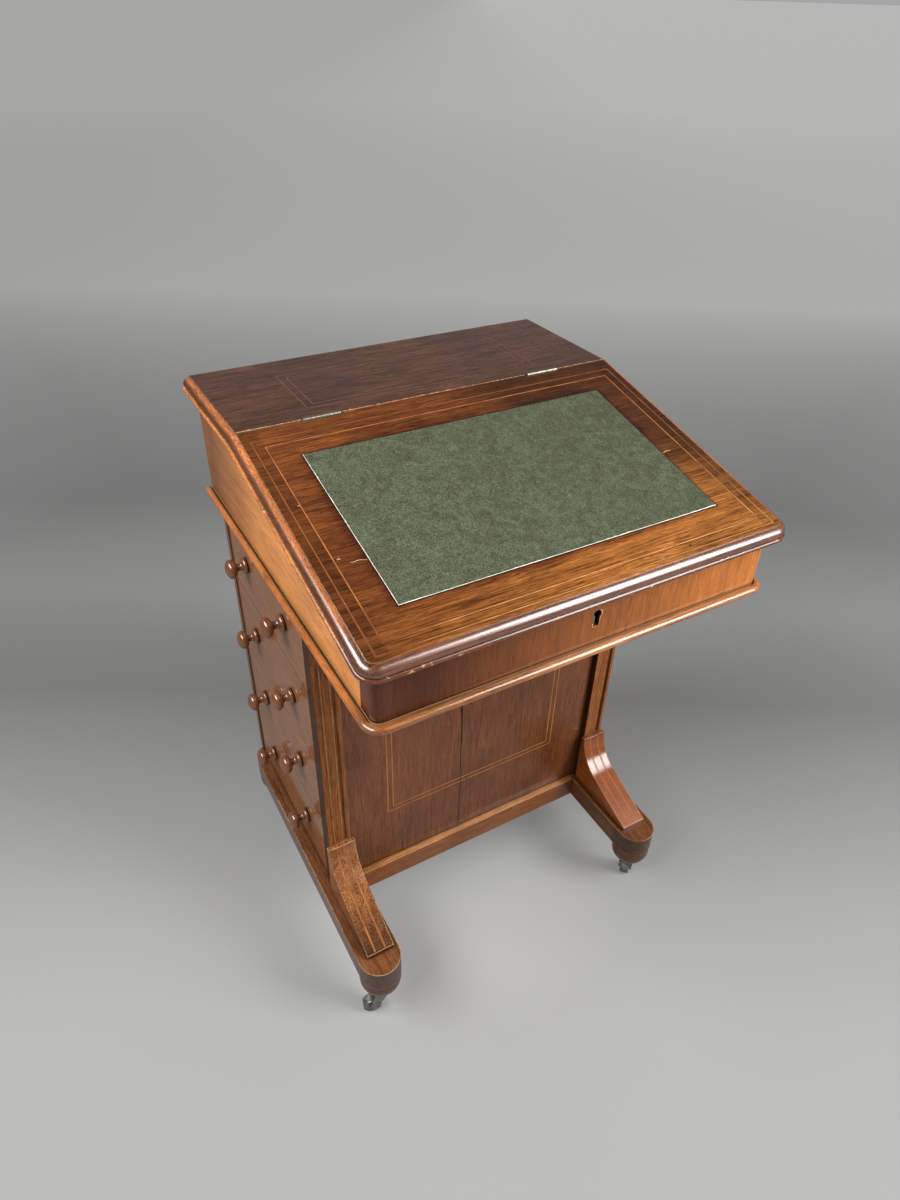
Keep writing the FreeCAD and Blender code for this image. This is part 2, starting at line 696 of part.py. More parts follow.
def drawer_pieces():
    """Four drawers, the top one first, and the dummy fronts that match them on the right side."""
    pieces = {}
    dummies = []
    dummy_knobs = []
    box_x0 = -drawer_face_x + drawer_front_thickness
    box_x1 = side_panel_x - drawer_rear_room
    y0 = drawer_front_y + drawer_side_room
    y1 = drawer_rear_y - drawer_side_room
    inner_y0 = y0 + drawer_side_thickness
    inner_y1 = y1 - drawer_side_thickness
    for index in range(drawer_count):
        name = "drawer_" + str(drawer_count - index)
        front, middle_z = left_front(index, drawer_front_thickness)
        knobs = left_knobs(middle_z)
        floor_z = runner_top_z + index * drawer_pitch
        if index > 0:
            floor_z = floor_z + dust_board_thickness / 2
        z0 = floor_z + seat_gap
        z1 = runner_top_z + (index + 1) * drawer_pitch - dust_board_thickness / 2 - drawer_head_room
        near = block(box_x0, box_x1, y0, inner_y0, z0, z1)
        far = block(box_x0, box_x1, inner_y1, y1, z0, z1)
        back = block(box_x1 - drawer_back_thickness, box_x1, inner_y0, inner_y1, z0, z1)
        bottom_z = z0 + drawer_bottom_lift
        pieces[name + "_front"] = front
        pieces[name + "_walls"] = Part.Compound([near, far, back])
        pieces[name + "_bottom"] = block(box_x0, box_x1 - drawer_back_thickness, inner_y0, inner_y1,
                                         bottom_z, bottom_z + drawer_bottom_thickness)
        pieces[name + "_knobs"] = Part.Compound(knobs)
        dummies.append(mirrored(left_front(index, dummy_front_thickness)[0]))
        dummy_knobs.extend(mirrored(shape) for shape in knobs)
    pieces["dummy_drawer_fronts"] = Part.Compound(dummies)
    pieces["dummy_knobs"] = Part.Compound(dummy_knobs)
    return pieces


def bracket():
    """Foot bracket on the right runner: a ledge, a cove that runs out straight, and a square end."""
    foot_z = runner_top_z
    ledge_y = pedestal_front_y - bracket_ledge
    ledge_z = foot_z + bracket_height
    end_y = pedestal_front_y - bracket_length
    end_z = foot_z + bracket_end_height
    centre = Vector(0, ledge_y - bracket_cove_radius, ledge_z)
    away_y = end_y - centre.y
    away_z = end_z - centre.z
    swing = math.acos(bracket_cove_radius / math.hypot(away_y, away_z))
    meet = math.atan2(away_z, away_y) + swing
    x0 = pilaster_x - bracket_width / 2

    def cove(angle):
        return Vector(x0, centre.y + bracket_cove_radius * math.cos(angle),
                      centre.z + bracket_cove_radius * math.sin(angle))

    back_foot = Vector(x0, pedestal_front_y, foot_z)
    back_head = Vector(x0, pedestal_front_y, ledge_z)
    end_head = Vector(x0, end_y, end_z)
    end_foot = Vector(x0, end_y, foot_z)
    edges = [
        line(back_foot, back_head),
        line(back_head, cove(0)),
        arc(cove(0), cove(meet / 2), cove(meet)),
        line(cove(meet), end_head),
        line(end_head, end_foot),
        line(end_foot, back_foot),
    ]
    return Part.Face(Part.Wire(edges)).extrude(Vector(bracket_width, 0, 0))


def foot_places():
    """Name, x and y of each bun and castor."""
    return [
        ("front_left", -runner_x, foot_front_y), ("front_right", runner_x, foot_front_y),
        ("rear_left", -runner_x, foot_rear_y), ("rear_right", runner_x, foot_rear_y),
    ]


def bun():
    """Turned bun from z = 0 up to the runner: a flat foot, a bowl and a rim, bored for the castor's pin."""
    bowl_top_z = bun_height - bun_rim_height
    bowl_centre = Vector(bun_neck_radius, 0, bowl_top_z)
    reach = bun_radius - bun_neck_radius
    lower = math.sqrt(2) / 2
    bowl_middle = Vector(bun_neck_radius + reach * lower, 0, bowl_top_z - bowl_top_z * lower)
    edges = [
        line(Vector(0, 0, 0), Vector(bun_neck_radius, 0, 0)),
        arc(Vector(bun_neck_radius, 0, 0), bowl_middle, Vector(bun_radius, 0, bowl_centre.z)),
        line(Vector(bun_radius, 0, bowl_top_z), Vector(bun_radius, 0, bun_height)),
        line(Vector(bun_radius, 0, bun_height), Vector(0, 0, bun_height)),
        line(Vector(0, 0, bun_height), Vector(0, 0, 0)),
    ]
    solid = Part.Face(Part.Wire(edges)).revolve(Vector(0, 0, 0), Vector(0, 0, 1), 360)
    return solid.cut(upright(castor_pin_radius + fit_gap, 0, 0, -overrun, castor_pin_in_bun + fit_gap))


def castor_levels():
    """Top of the fork, underside of its boss and underside of its bridge."""
    top = castor_height - castor_plate_thickness - seat_gap
    boss = top - castor_boss_height
    return top, boss, boss - castor_bridge_thickness


def castor_plate():
    """Round plate under the bun with the swivel pin, over the middle of the floor."""
    low_z = castor_levels()[2]
    plate = upright(castor_plate_radius, 0, 0, castor_height - castor_plate_thickness, castor_height)
    pin = upright(castor_pin_radius, 0, 0, low_z, castor_height + castor_pin_in_bun)
    return fused([plate, pin])


def castor_fork():
    """Fork that trails towards +X from the swivel: boss, bridge and two cheeks, with its axle apart."""
    fork_top_z, boss_z, bridge_z = castor_levels()
    inner = castor_wheel_width / 2 + castor_cheek_gap
    outer = inner + castor_cheek_thickness
    hub_z = castor_wheel_radius
    shapes = [
        upright(castor_boss_radius, 0, 0, boss_z, fork_top_z),
        block(-castor_boss_radius, castor_boss_radius, -outer, outer, bridge_z, boss_z),
    ]
    for y0, y1 in [(-outer, -inner), (inner, outer)]:
        points = [
            Vector(-castor_boss_radius, y0, boss_z), Vector(castor_boss_radius, y0, boss_z),
            Vector(castor_trail + castor_cheek_end_radius, y0, hub_z),
            Vector(castor_trail - castor_cheek_end_radius, y0, hub_z),
        ]
        arm = Part.Face(Part.makePolygon(points + points[:1])).extrude(Vector(0, y1 - y0, 0))
        end = Part.makeCylinder(castor_cheek_end_radius, y1 - y0, Vector(castor_trail, y0, hub_z),
                                Vector(0, 1, 0))
        shapes.extend([arm, end])
    hub = Vector(castor_trail, -outer, hub_z)
    hole = Part.makeCylinder(castor_axle_radius + fit_gap, 2 * outer, hub, Vector(0, 1, 0))
    axle = Part.makeCylinder(castor_axle_radius, 2 * outer, hub, Vector(0, 1, 0))
    swivel = upright(castor_pin_radius + fit_gap, 0, 0, bridge_z - overrun, fork_top_z + overrun)
    return Part.Compound([fused(shapes).cut(hole).cut(swivel), axle])


def castor_wheel():
    """Wheel of a castor that trails towards +X, bored for its axle."""
    half = castor_wheel_width / 2
    hub = Vector(castor_trail, -half, castor_wheel_radius)
    tyre = Part.makeCylinder(castor_wheel_radius, castor_wheel_width, hub, Vector(0, 1, 0))
    rims = [edge for edge in tyre.Edges if edge.BoundBox.YLength < half]
    tyre = tyre.makeFillet(castor_wheel_round, rims)
    return tyre.cut(Part.makeCylinder(castor_axle_radius + fit_gap, castor_wheel_width, hub, Vector(0, 1, 0)))


def foot_pieces():
    """Runners, brackets, buns and castors."""
    pieces = {}
    straight = block(runner_x - runner_half, runner_x + runner_half, foot_front_y, foot_rear_y,
                     runner_bottom_z, runner_top_z)
    ends = [upright(runner_half, runner_x, y, runner_bottom_z, runner_top_z)
            for y in (foot_front_y, foot_rear_y)]
    runner = fused([straight] + ends)
    pieces["runner_right"] = runner
    pieces["runner_left"] = mirrored(runner)
    pieces["foot_bracket_right"] = bracket()
    pieces["foot_bracket_left"] = mirrored(bracket())
    buns = []
    plates = []
    for name, x, y in foot_places():
        place = Vector(x, y, 0)
        buns.append(bun().translated(Vector(x, y, castor_height)))
        plates.append(castor_plate().translated(place))
        swing = castor_swing[name]
        for node, shape in (("castor_fork_", castor_fork()), ("castor_wheel_", castor_wheel())):
            swung = shape.rotated(Vector(0, 0, 0), Vector(0, 0, 1), swing)
            pieces[node + name] = swung.translated(place)
    pieces["bun_feet"] = Part.Compound(buns)
    pieces["castor_plates"] = Part.Compound(plates)
    return pieces


def main():
    os.makedirs("parts", exist_ok=True)
    pieces = {}
    for group in (box_pieces, lid_pieces, hinge_pieces, lock_pieces):
        pieces.update(group())
    for group in (pedestal_pieces, drawer_pieces, foot_pieces):
        pieces.update(group())
    for name, shape in sorted(pieces.items()):
        shape.exportStep("parts/" + name + ".step")


main()
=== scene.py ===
import math

import bmesh
import bpy
import numpy as np
from mathutils import Matrix, Vector


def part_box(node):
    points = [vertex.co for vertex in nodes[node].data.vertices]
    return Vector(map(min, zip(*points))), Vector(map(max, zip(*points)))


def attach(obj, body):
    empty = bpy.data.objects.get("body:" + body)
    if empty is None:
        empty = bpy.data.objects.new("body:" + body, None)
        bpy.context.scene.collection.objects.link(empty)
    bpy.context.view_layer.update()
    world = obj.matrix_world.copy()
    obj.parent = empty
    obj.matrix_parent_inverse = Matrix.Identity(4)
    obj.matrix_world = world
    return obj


bl_info = {
    "name": "Davenport desk",
    "version": (1, 0, 0),
    "blender": (4, 5, 0),
    "location": "3D View > Sidebar > Davenport",
    "description": "Finishes a davenport desk in polished mahogany with boxwood lines, leather and castors",
    "category": "Object",
}

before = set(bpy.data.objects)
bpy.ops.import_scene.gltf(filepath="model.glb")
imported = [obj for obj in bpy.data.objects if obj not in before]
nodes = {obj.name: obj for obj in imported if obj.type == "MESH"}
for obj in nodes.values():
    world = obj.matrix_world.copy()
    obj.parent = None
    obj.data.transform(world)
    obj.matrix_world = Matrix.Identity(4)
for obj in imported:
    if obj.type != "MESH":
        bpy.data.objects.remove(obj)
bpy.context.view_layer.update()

X, Y, Z = range(3)
SIDES = ("left", "right")
RIGHT, LEFT = (1.0, 0.0, 0.0), (-1.0, 0.0, 0.0)  # As the sitter sees the desk
REAR, FRONT = (0.0, 1.0, 0.0), (0.0, -1.0, 0.0)
UP, DOWN = (0.0, 0.0, 1.0), (0.0, 0.0, -1.0)
FRONT_CORNER = (-0.245, -0.205)  # Y between which the side mouldings turn into the front corners


def srgb(red, green, blue):
    """Linear colour of a screen colour given from 0 to 255."""
    share = np.array([red, green, blue]) / 255
    linear = np.where(share <= 0.04045, share / 12.92, ((share + 0.055) / 1.055) ** 2.4)
    return tuple(float(value) for value in linear)


def length(name, default, description):
    """Property for a size in metres."""
    return bpy.props.FloatProperty(name=name, description=description, default=default, min=0.0,
                                   unit="LENGTH", precision=5)


def angle(name, degrees, description):
    """Property for an angle."""
    return bpy.props.FloatProperty(name=name, description=description, default=math.radians(degrees),
                                   subtype="ANGLE")


def tint(name, default, description):
    """Property for a colour."""
    return bpy.props.FloatVectorProperty(name=name, description=description, default=default, size=3,
                                         min=0.0, max=1.0, subtype="COLOR")


class DavenportSizes(bpy.types.PropertyGroup):
    """Sizes of the lines and small details on the desk."""
    lid_slope: angle("Lid slope", 12.3, "Fall of the writing slope from the hinges to the front")
    edge_width: length("Edge width", 0.0118, "From the lid's side arris to the nose of its bead")
    edge_reach: length("Edge reach", 0.0084, "From the lid's front arris to the nose of its bead, level")
    bead_depth: length("Bead depth", 0.0117, "From the lid's surface down to its bead")
    line_width: length("Line width", 0.0013, "Width of a boxwood line")
    pedestal_line: length("Pedestal line width", 0.0022, "Width of a line on the panel, pilasters and brackets")
    joint_width: length("Joint width", 0.0010, "Width of the dark glue on both sides of a line")
    line_proud: length("Line height", 0.00006, "How far a line stands above the veneer")
    line_depth: length("Line depth", 0.0006, "How deep a line is let into the veneer")
    lid_line_side: length("Lid line, side", 0.0102, "From the lid's side arris to its outer line")
    lid_line_back: length("Lid line, back", 0.0220, "From the hinges to the lid's outer line")
    lid_line_front: length("Lid line, front", 0.0070, "From the lid's front arris to its outer line")
    lid_pair: length("Lid pair", 0.0127, "Between the lid's two lines")
    top_line_half: length("Top line, half width", 0.1650, "Half the width of the flat top's line")
    top_line_front: length("Top line, front", 0.0280, "From the hinges to the flat top's line")
    top_line_back: length("Top line, back", 0.0520, "From the flat top's back to its line")
    top_pair: length("Top pair", 0.0105, "Between the flat top's two lines")
    panel_line_half: length("Panel line, half width", 0.1490, "Half the width of the panel's line")
    panel_line_foot: length("Panel line, foot", 0.1100, "From the panel's foot to its line")
    panel_line_head: length("Panel line, head", 0.0350, "From the panel's head to its line")
    panel_pair: length("Panel pair", 0.0085, "Between the panel's two lines")
    crack_place: length("Crack place", 0.0240, "From the panel's middle to its crack, towards the drawers")
    niche_depth: length("Niche depth", 0.0035, "How deep the pilasters are hollowed")
    niche_half: length("Niche half width", 0.0120, "Half the width of a pilaster's hollow")
    niche_head: length("Niche head", 0.0830, "From the top of a pilaster to the spring of its round head")
    pilaster_pair: length("Pilaster pair", 0.0129, "Between a pilaster's two lines")
    bracket_ledge: length("Bracket ledge", 0.0070, "Flat at the top of a foot bracket")
    bracket_cove: length("Bracket cove", 0.0620, "Radius of a foot bracket's hollow")
    bracket_end: length("Bracket end", 0.0070, "Height of a foot bracket's square end")
    bracket_pair: length("Bracket pair", 0.0155, "Between a foot bracket's two lines")
    keyhole_radius: length("Keyhole radius", 0.0060, "Radius of the keyhole's eye")
    keyhole_half: length("Keyhole half width", 0.0040, "Half the width of the keyhole's slot")
    keyhole_slot: length("Keyhole slot", 0.0155, "From the keyhole's middle to its foot")
    keyhole_drop: length("Keyhole drop", 0.0287, "From the rail's top edge to the keyhole's middle")
    keyhole_side: length("Keyhole side", 0.0070, "How far the keyhole is right of the middle")
    screw_radius: length("Screw head", 0.0027, "Radius of a hinge screw's head")


class DavenportFinishes(bpy.types.PropertyGroup):
    """Colours of the desk's woods, leather and metals."""
    top_wood: tint("Flat top", srgb(84, 50, 34), "Faded brown of the flat top")
    # The lid's veneer ramps from lid_shade at the back and left to lid_wood at the front and right: painted light and
    # painted shade.
    lid_wood: tint("Lid veneer", srgb(160, 98, 44), "Bleached veneer at the front of the writing slope")
    lid_shade: tint("Lid veneer, back", srgb(107, 57, 24), "Darker veneer at the back of the writing slope")
    edge_wood: tint("Moulded edge", srgb(118, 62, 32), "Edge moulding of the lid and flat top")
    edge_side: tint("Moulded edge, sides", srgb(184, 108, 58), "Edge moulding at the sides")
    bead_wood: tint("Bead", srgb(206, 124, 62), "Rubbed bead under the edge moulding")
    side_wood: tint("Box sides", srgb(215, 142, 82), "Light veneer of the box's sides")
    # The sides' darker rear is painted shade.
    side_shade: tint("Box sides, rear", srgb(134, 85, 54), "Darker rear of the box's sides")
    # The front ramps from rail_shade at its left end to this colour at its right: painted shade and painted light.
    rail_wood: tint("Front rail", srgb(204, 120, 50), "Right end of the box's front")
    rail_shade: tint("Front rail, left", srgb(84, 38, 16), "Left end of the box's front")
    base_wood: tint("Base moulding", srgb(194, 120, 60), "Moulding round the foot of the box")
    drawer_wood: tint("Drawer fronts", srgb(149, 96, 62), "Veneer of the drawers")
    panel_wood: tint("Panels", srgb(118, 66, 36), "Front and back panels of the pedestal")
    pilaster_wood: tint("Pilasters", srgb(140, 82, 44), "Pilasters and posts of the pedestal")
    foot_wood: tint("Runners", srgb(117, 72, 43), "Runners of the sledge feet")
    bracket_wood: tint("Brackets", srgb(172, 88, 30), "Brackets on the runners")
    rail_top: tint("Bottom rail, top", srgb(190, 128, 72), "Rubbed top of the rail between the feet")
    bun_wood: tint("Bun feet", srgb(95, 56, 33), "Turned feet under the runners")
    knob_wood: tint("Knobs", srgb(124, 70, 37), "Turned knobs")
    inner_wood: tint("Inner wood", srgb(184, 142, 96), "Drawer linings and the well")
    boxwood: tint("Boxwood lines", srgb(176, 108, 50), "Inlaid lines")
    # The lid's lines ramp from this colour at the front to the boxwood behind: the brighter front is painted light.
    bright_line: tint("Bright lines", srgb(214, 150, 84), "Inlaid lines at the front of the lid")
    faded_line: tint("Faded lines", srgb(114, 78, 62), "Inlaid lines of the flat top")
    # Bare wood at rubbed edges; it also paints the thin highlights along arrises.
    worn_wood: tint("Worn arris", srgb(222, 176, 130), "Bare wood where an edge has lost its polish")
    # This colour also darkens the hollows through ambient occlusion: partly old wax and dust, partly painted shade.
    dirt: tint("Dirt", srgb(34, 20, 13), "Old wax and dust in corners and cracks")
    leather: tint("Leather", srgb(80, 83, 63), "Green writing leather")
    leather_edge: tint("Leather edge", srgb(250, 244, 226), "Pale cut edge of the leather")
    brass: tint("Hinge brass", srgb(150, 141, 126), "Aged brass of the hinges")
    steel: tint("Lock steel", srgb(168, 162, 152), "Steel of the lock")
    iron: tint("Castor iron", srgb(164, 162, 155), "Iron of the castors")


class DavenportStage(bpy.types.PropertyGroup):
    """Camera, light and floor."""
    camera_place: bpy.props.FloatVectorProperty(
        name="Camera place", description="Where the camera stands", size=3, subtype="XYZ", unit="LENGTH",
        default=(-0.4797, -0.7728, 1.2514))
    camera_yaw: angle("Camera yaw", 30.55, "Turn of the view from +Y towards +X")
    camera_pitch: angle("Camera pitch", 36.92, "How far the camera looks down")
    camera_roll: angle("Camera roll", 1.69, "Roll of the camera about its view")
    focal_share: bpy.props.FloatProperty(
        name="Focal share", description="Focal length as a share of the picture's height", default=813 / 1200)
    floor_colour: tint("Floor", (1.0, 1.0, 0.985), "Tint of the pale floor")
    room_colour: tint("Room", (0.98, 0.99, 1.0), "Tint of the room's soft light")


class Shader:
    """Node tree of one finish, or of the room's light, with short calls that add and join nodes."""

    def __init__(self, name, world=None):
        self.material = world or bpy.data.materials.new(name)
        self.material.use_nodes = True
        self.tree = self.material.node_tree
        self.surface = self.tree.nodes["Background" if world else "Principled BSDF"]
        self.place = self.add("ShaderNodeTexCoord").outputs["Generated" if world else "Object"]

    def add(self, kind, inputs=None, **settings):
        """New node with its settings, and with values or other nodes' sockets on its inputs."""
        made = self.tree.nodes.new(kind)
        for key, value in settings.items():
            setattr(made, key, value)
        for key, value in (inputs or {}).items():
            self.feed(made.inputs[key], value)
        return made

    def feed(self, socket, value):
        """Joins a socket to an input, or sets the input to a value."""
        if isinstance(value, bpy.types.NodeSocket):
            self.tree.links.new(value, socket)
        else:
            socket.default_value = value

    def set(self, **inputs):
        """Sets or joins inputs of the surface, with spaces written as underscores."""
        for key, value in inputs.items():
            self.feed(self.surface.inputs[key.replace("_", " ")], value)

    def math(self, operation, first, second=0.0):
        """Result of a sum on two numbers."""
        return self.add("ShaderNodeMath", {0: first, 1: second}, operation=operation).outputs[0]

    def product(self, *values):
        """Product of several numbers."""
        result = values[0]
        for value in values[1:]:
            result = self.math("MULTIPLY", result, value)
        return result

    def stretched(self, scale, place=None):
        """Coordinates scaled along each axis."""
        inputs = {"Vector": self.place if place is None else place, "Scale": scale}
        return self.add("ShaderNodeMapping", inputs).outputs[0]

    def noise(self, place=None, scale=1.0, detail=3.0, roughness=0.5, distortion=0.0):
        """Cloudy value about 0.5."""
        inputs = {"Vector": self.place if place is None else place, "Scale": scale, "Detail": detail,
                  "Roughness": roughness, "Distortion": distortion}
        return self.add("ShaderNodeTexNoise", inputs).outputs[0]

    def between(self, value, low, high, first=0.0, last=1.0):
        """Value carried from one range to another and held within it."""
        inputs = {0: value, 1: low, 2: high, 3: first, 4: last}
        return self.add("ShaderNodeMapRange", inputs).outputs[0]

    def mix(self, share, first, second):
        """Colour between two colours."""
        made = self.add("ShaderNodeMix", {0: share}, data_type="RGBA")
        self.feed(made.inputs[6], first)
        self.feed(made.inputs[7], second)
        return made.outputs[2]

    def scaled(self, colour, share):
        """Colour made lighter or darker."""
        made = self.add("ShaderNodeVectorMath", {"Scale": share}, operation="SCALE")
        self.feed(made.inputs[0], colour if isinstance(colour, bpy.types.NodeSocket) else colour[:3])
        return made.outputs[0]

    def tinted(self, colour, other):
        """Colour multiplied by another."""
        made = self.add("ShaderNodeVectorMath", {1: other}, operation="MULTIPLY")
        self.feed(made.inputs[0], colour if isinstance(colour, bpy.types.NodeSocket) else colour[:3])
        return made.outputs[0]

    def dot(self, first, second):
        """Dot product of two directions or places."""
        made = self.add("ShaderNodeVectorMath", {0: first, 1: second}, operation="DOT_PRODUCT")
        return made.outputs["Value"]

    def ramp(self, way, start, end, first=0.0, last=1.0):
        """Value that changes between two distances along a way."""
        return self.between(self.dot(self.place, way), start, end, first, last)

    def bump(self, height, strength, distance, **inputs):
        """Normal of a surface with small hills."""
        inputs.update(Height=height, Strength=strength, Distance=distance)
        return self.add("ShaderNodeBump", inputs).outputs[0]

    def axis(self, index):
        """One coordinate of the place on the piece."""
        return self.add("ShaderNodeSeparateXYZ", {0: self.place}).outputs[index]


def chosen(context):
    """The sizes and finishes that are set in the scene."""
    return context.scene.davenport_sizes, context.scene.davenport_finishes


def times(colour, share):
    """Colour made lighter or darker by one share, or by a share for each of its parts."""
    return tuple(np.array(colour) * share)


def toned(colour, share=1.0):
    """The same as four numbers, for a node."""
    return times(colour, share) + (1.0,)


def lit_by(make, colour, sun):
    """Wood's colour. Its last argument, if given, is a way, its two ends and the colour at the first, and the colour
    ramps between them: painted light and shade on most woods, a dark stain on the left bracket.
    """
    if sun is None:
        return toned(colour)
    way, start, end, shade = sun
    return make.mix(make.ramp(way, start, end), toned(shade), toned(colour))


def grain_scale(along, across_size, along_size):
    """Scale that gives features of one size along an axis and another across it."""
    scale = [1 / across_size] * 3
    scale[along] = 1 / along_size
    return tuple(scale)


def wood_colour(make, true, colour, sun, shadow, faces, end_grain):
    """Wood's colour before its grain. sun is as in lit_by. shadow is a way, its two ends and the share of light
    left at the second. faces gives ways and the colours of the faces that look along them. end_grain is a
    distance along -Y from which upright faces are darker."""
    def facing(way):
        return make.between(make.dot(true, way), 0.7, 0.8)

    body = lit_by(make, colour, sun)
    if shadow is not None:
        way, start, end, left = shadow
        body = make.scaled(body, make.ramp(way, start, end, 1.0, left))
    for way, face_colour in faces:
        body = make.mix(facing(way), body, toned(face_colour))
    if end_grain is not None:
        upright = make.math("SUBTRACT", 1.0, facing(UP))
        ends = make.product(make.ramp(FRONT, end_grain - 0.012, end_grain), upright)
        body = make.mix(ends, body, toned(colour, (0.48, 0.55, 0.62)))
    return body


def moulded_edges(make, body, side_edge, front_edge, side_colour, bead, rim, border):
    """Wood's colour with that of its moulded edges, and four numbers from 0 to 1: whether a place is beyond
    side_edge, on any edge, on a side moulding and on a bead. Beyond side_edge the wood is the side moulding's,
    which turns dark at the front corners, and beyond front_edge it is the front moulding's. rim is two distances
    beyond side_edge and the shares of light at them, for the stripes of the moulding. bead is a way and the
    distance along it from which the side mouldings are rubbed pale. border is how far inside side_edge a soiled
    border starts and is full, and its share of light."""
    finish = bpy.context.scene.davenport_finishes
    outwards = make.math("SUBTRACT", make.math("ABSOLUTE", make.axis(X)), side_edge)
    edge = beyond = make.math("GREATER_THAN", outwards, 0.0)
    if border is not None:
        start, full, left = border
        body = make.scaled(body, make.between(outwards, -start, -full, 1.0, left))
    if front_edge is not None:
        edge = make.math("MAXIMUM", edge, make.math("LESS_THAN", make.axis(Y), front_edge))
        body = make.mix(edge, body, toned(finish.edge_wood))
    side = make.product(beyond, make.between(make.axis(Y), *FRONT_CORNER))
    body = make.mix(side, body, make.scaled(toned(side_colour), make.between(outwards, *rim)))
    nose = 0.0
    if bead is not None:
        way, depth = bead
        nose = make.product(edge, make.math("GREATER_THAN", make.dot(make.place, way), depth))
        body = make.mix(make.product(nose, side), body, toned(finish.bead_wood))
    return body, beyond, edge, side, nose


def gathered_polish(make, shade, cloud, inset):
    """Wood's colour, darker in a band round a panel that is let into it. inset is the panel's middle along a way,
    its half width, that way and its half length."""
    middle, half, way, reach = inset
    along = make.math("SUBTRACT", make.dot(make.place, way), middle)
    past = [make.math("SUBTRACT", make.math("ABSOLUTE", distance), limit)
            for distance, limit in ((along, reach), (make.axis(X), half))]
    past = make.math("ADD", make.math("MAXIMUM", *past), make.between(cloud, 0.3, 0.7, -0.005, 0.005))
    darkest, clean = (0.58, 0.46, 0.40, 1.0), (1.0, 1.0, 1.0, 1.0)
    return make.tinted(shade, make.mix(make.between(past, 0.001, 0.010), darkest, clean))


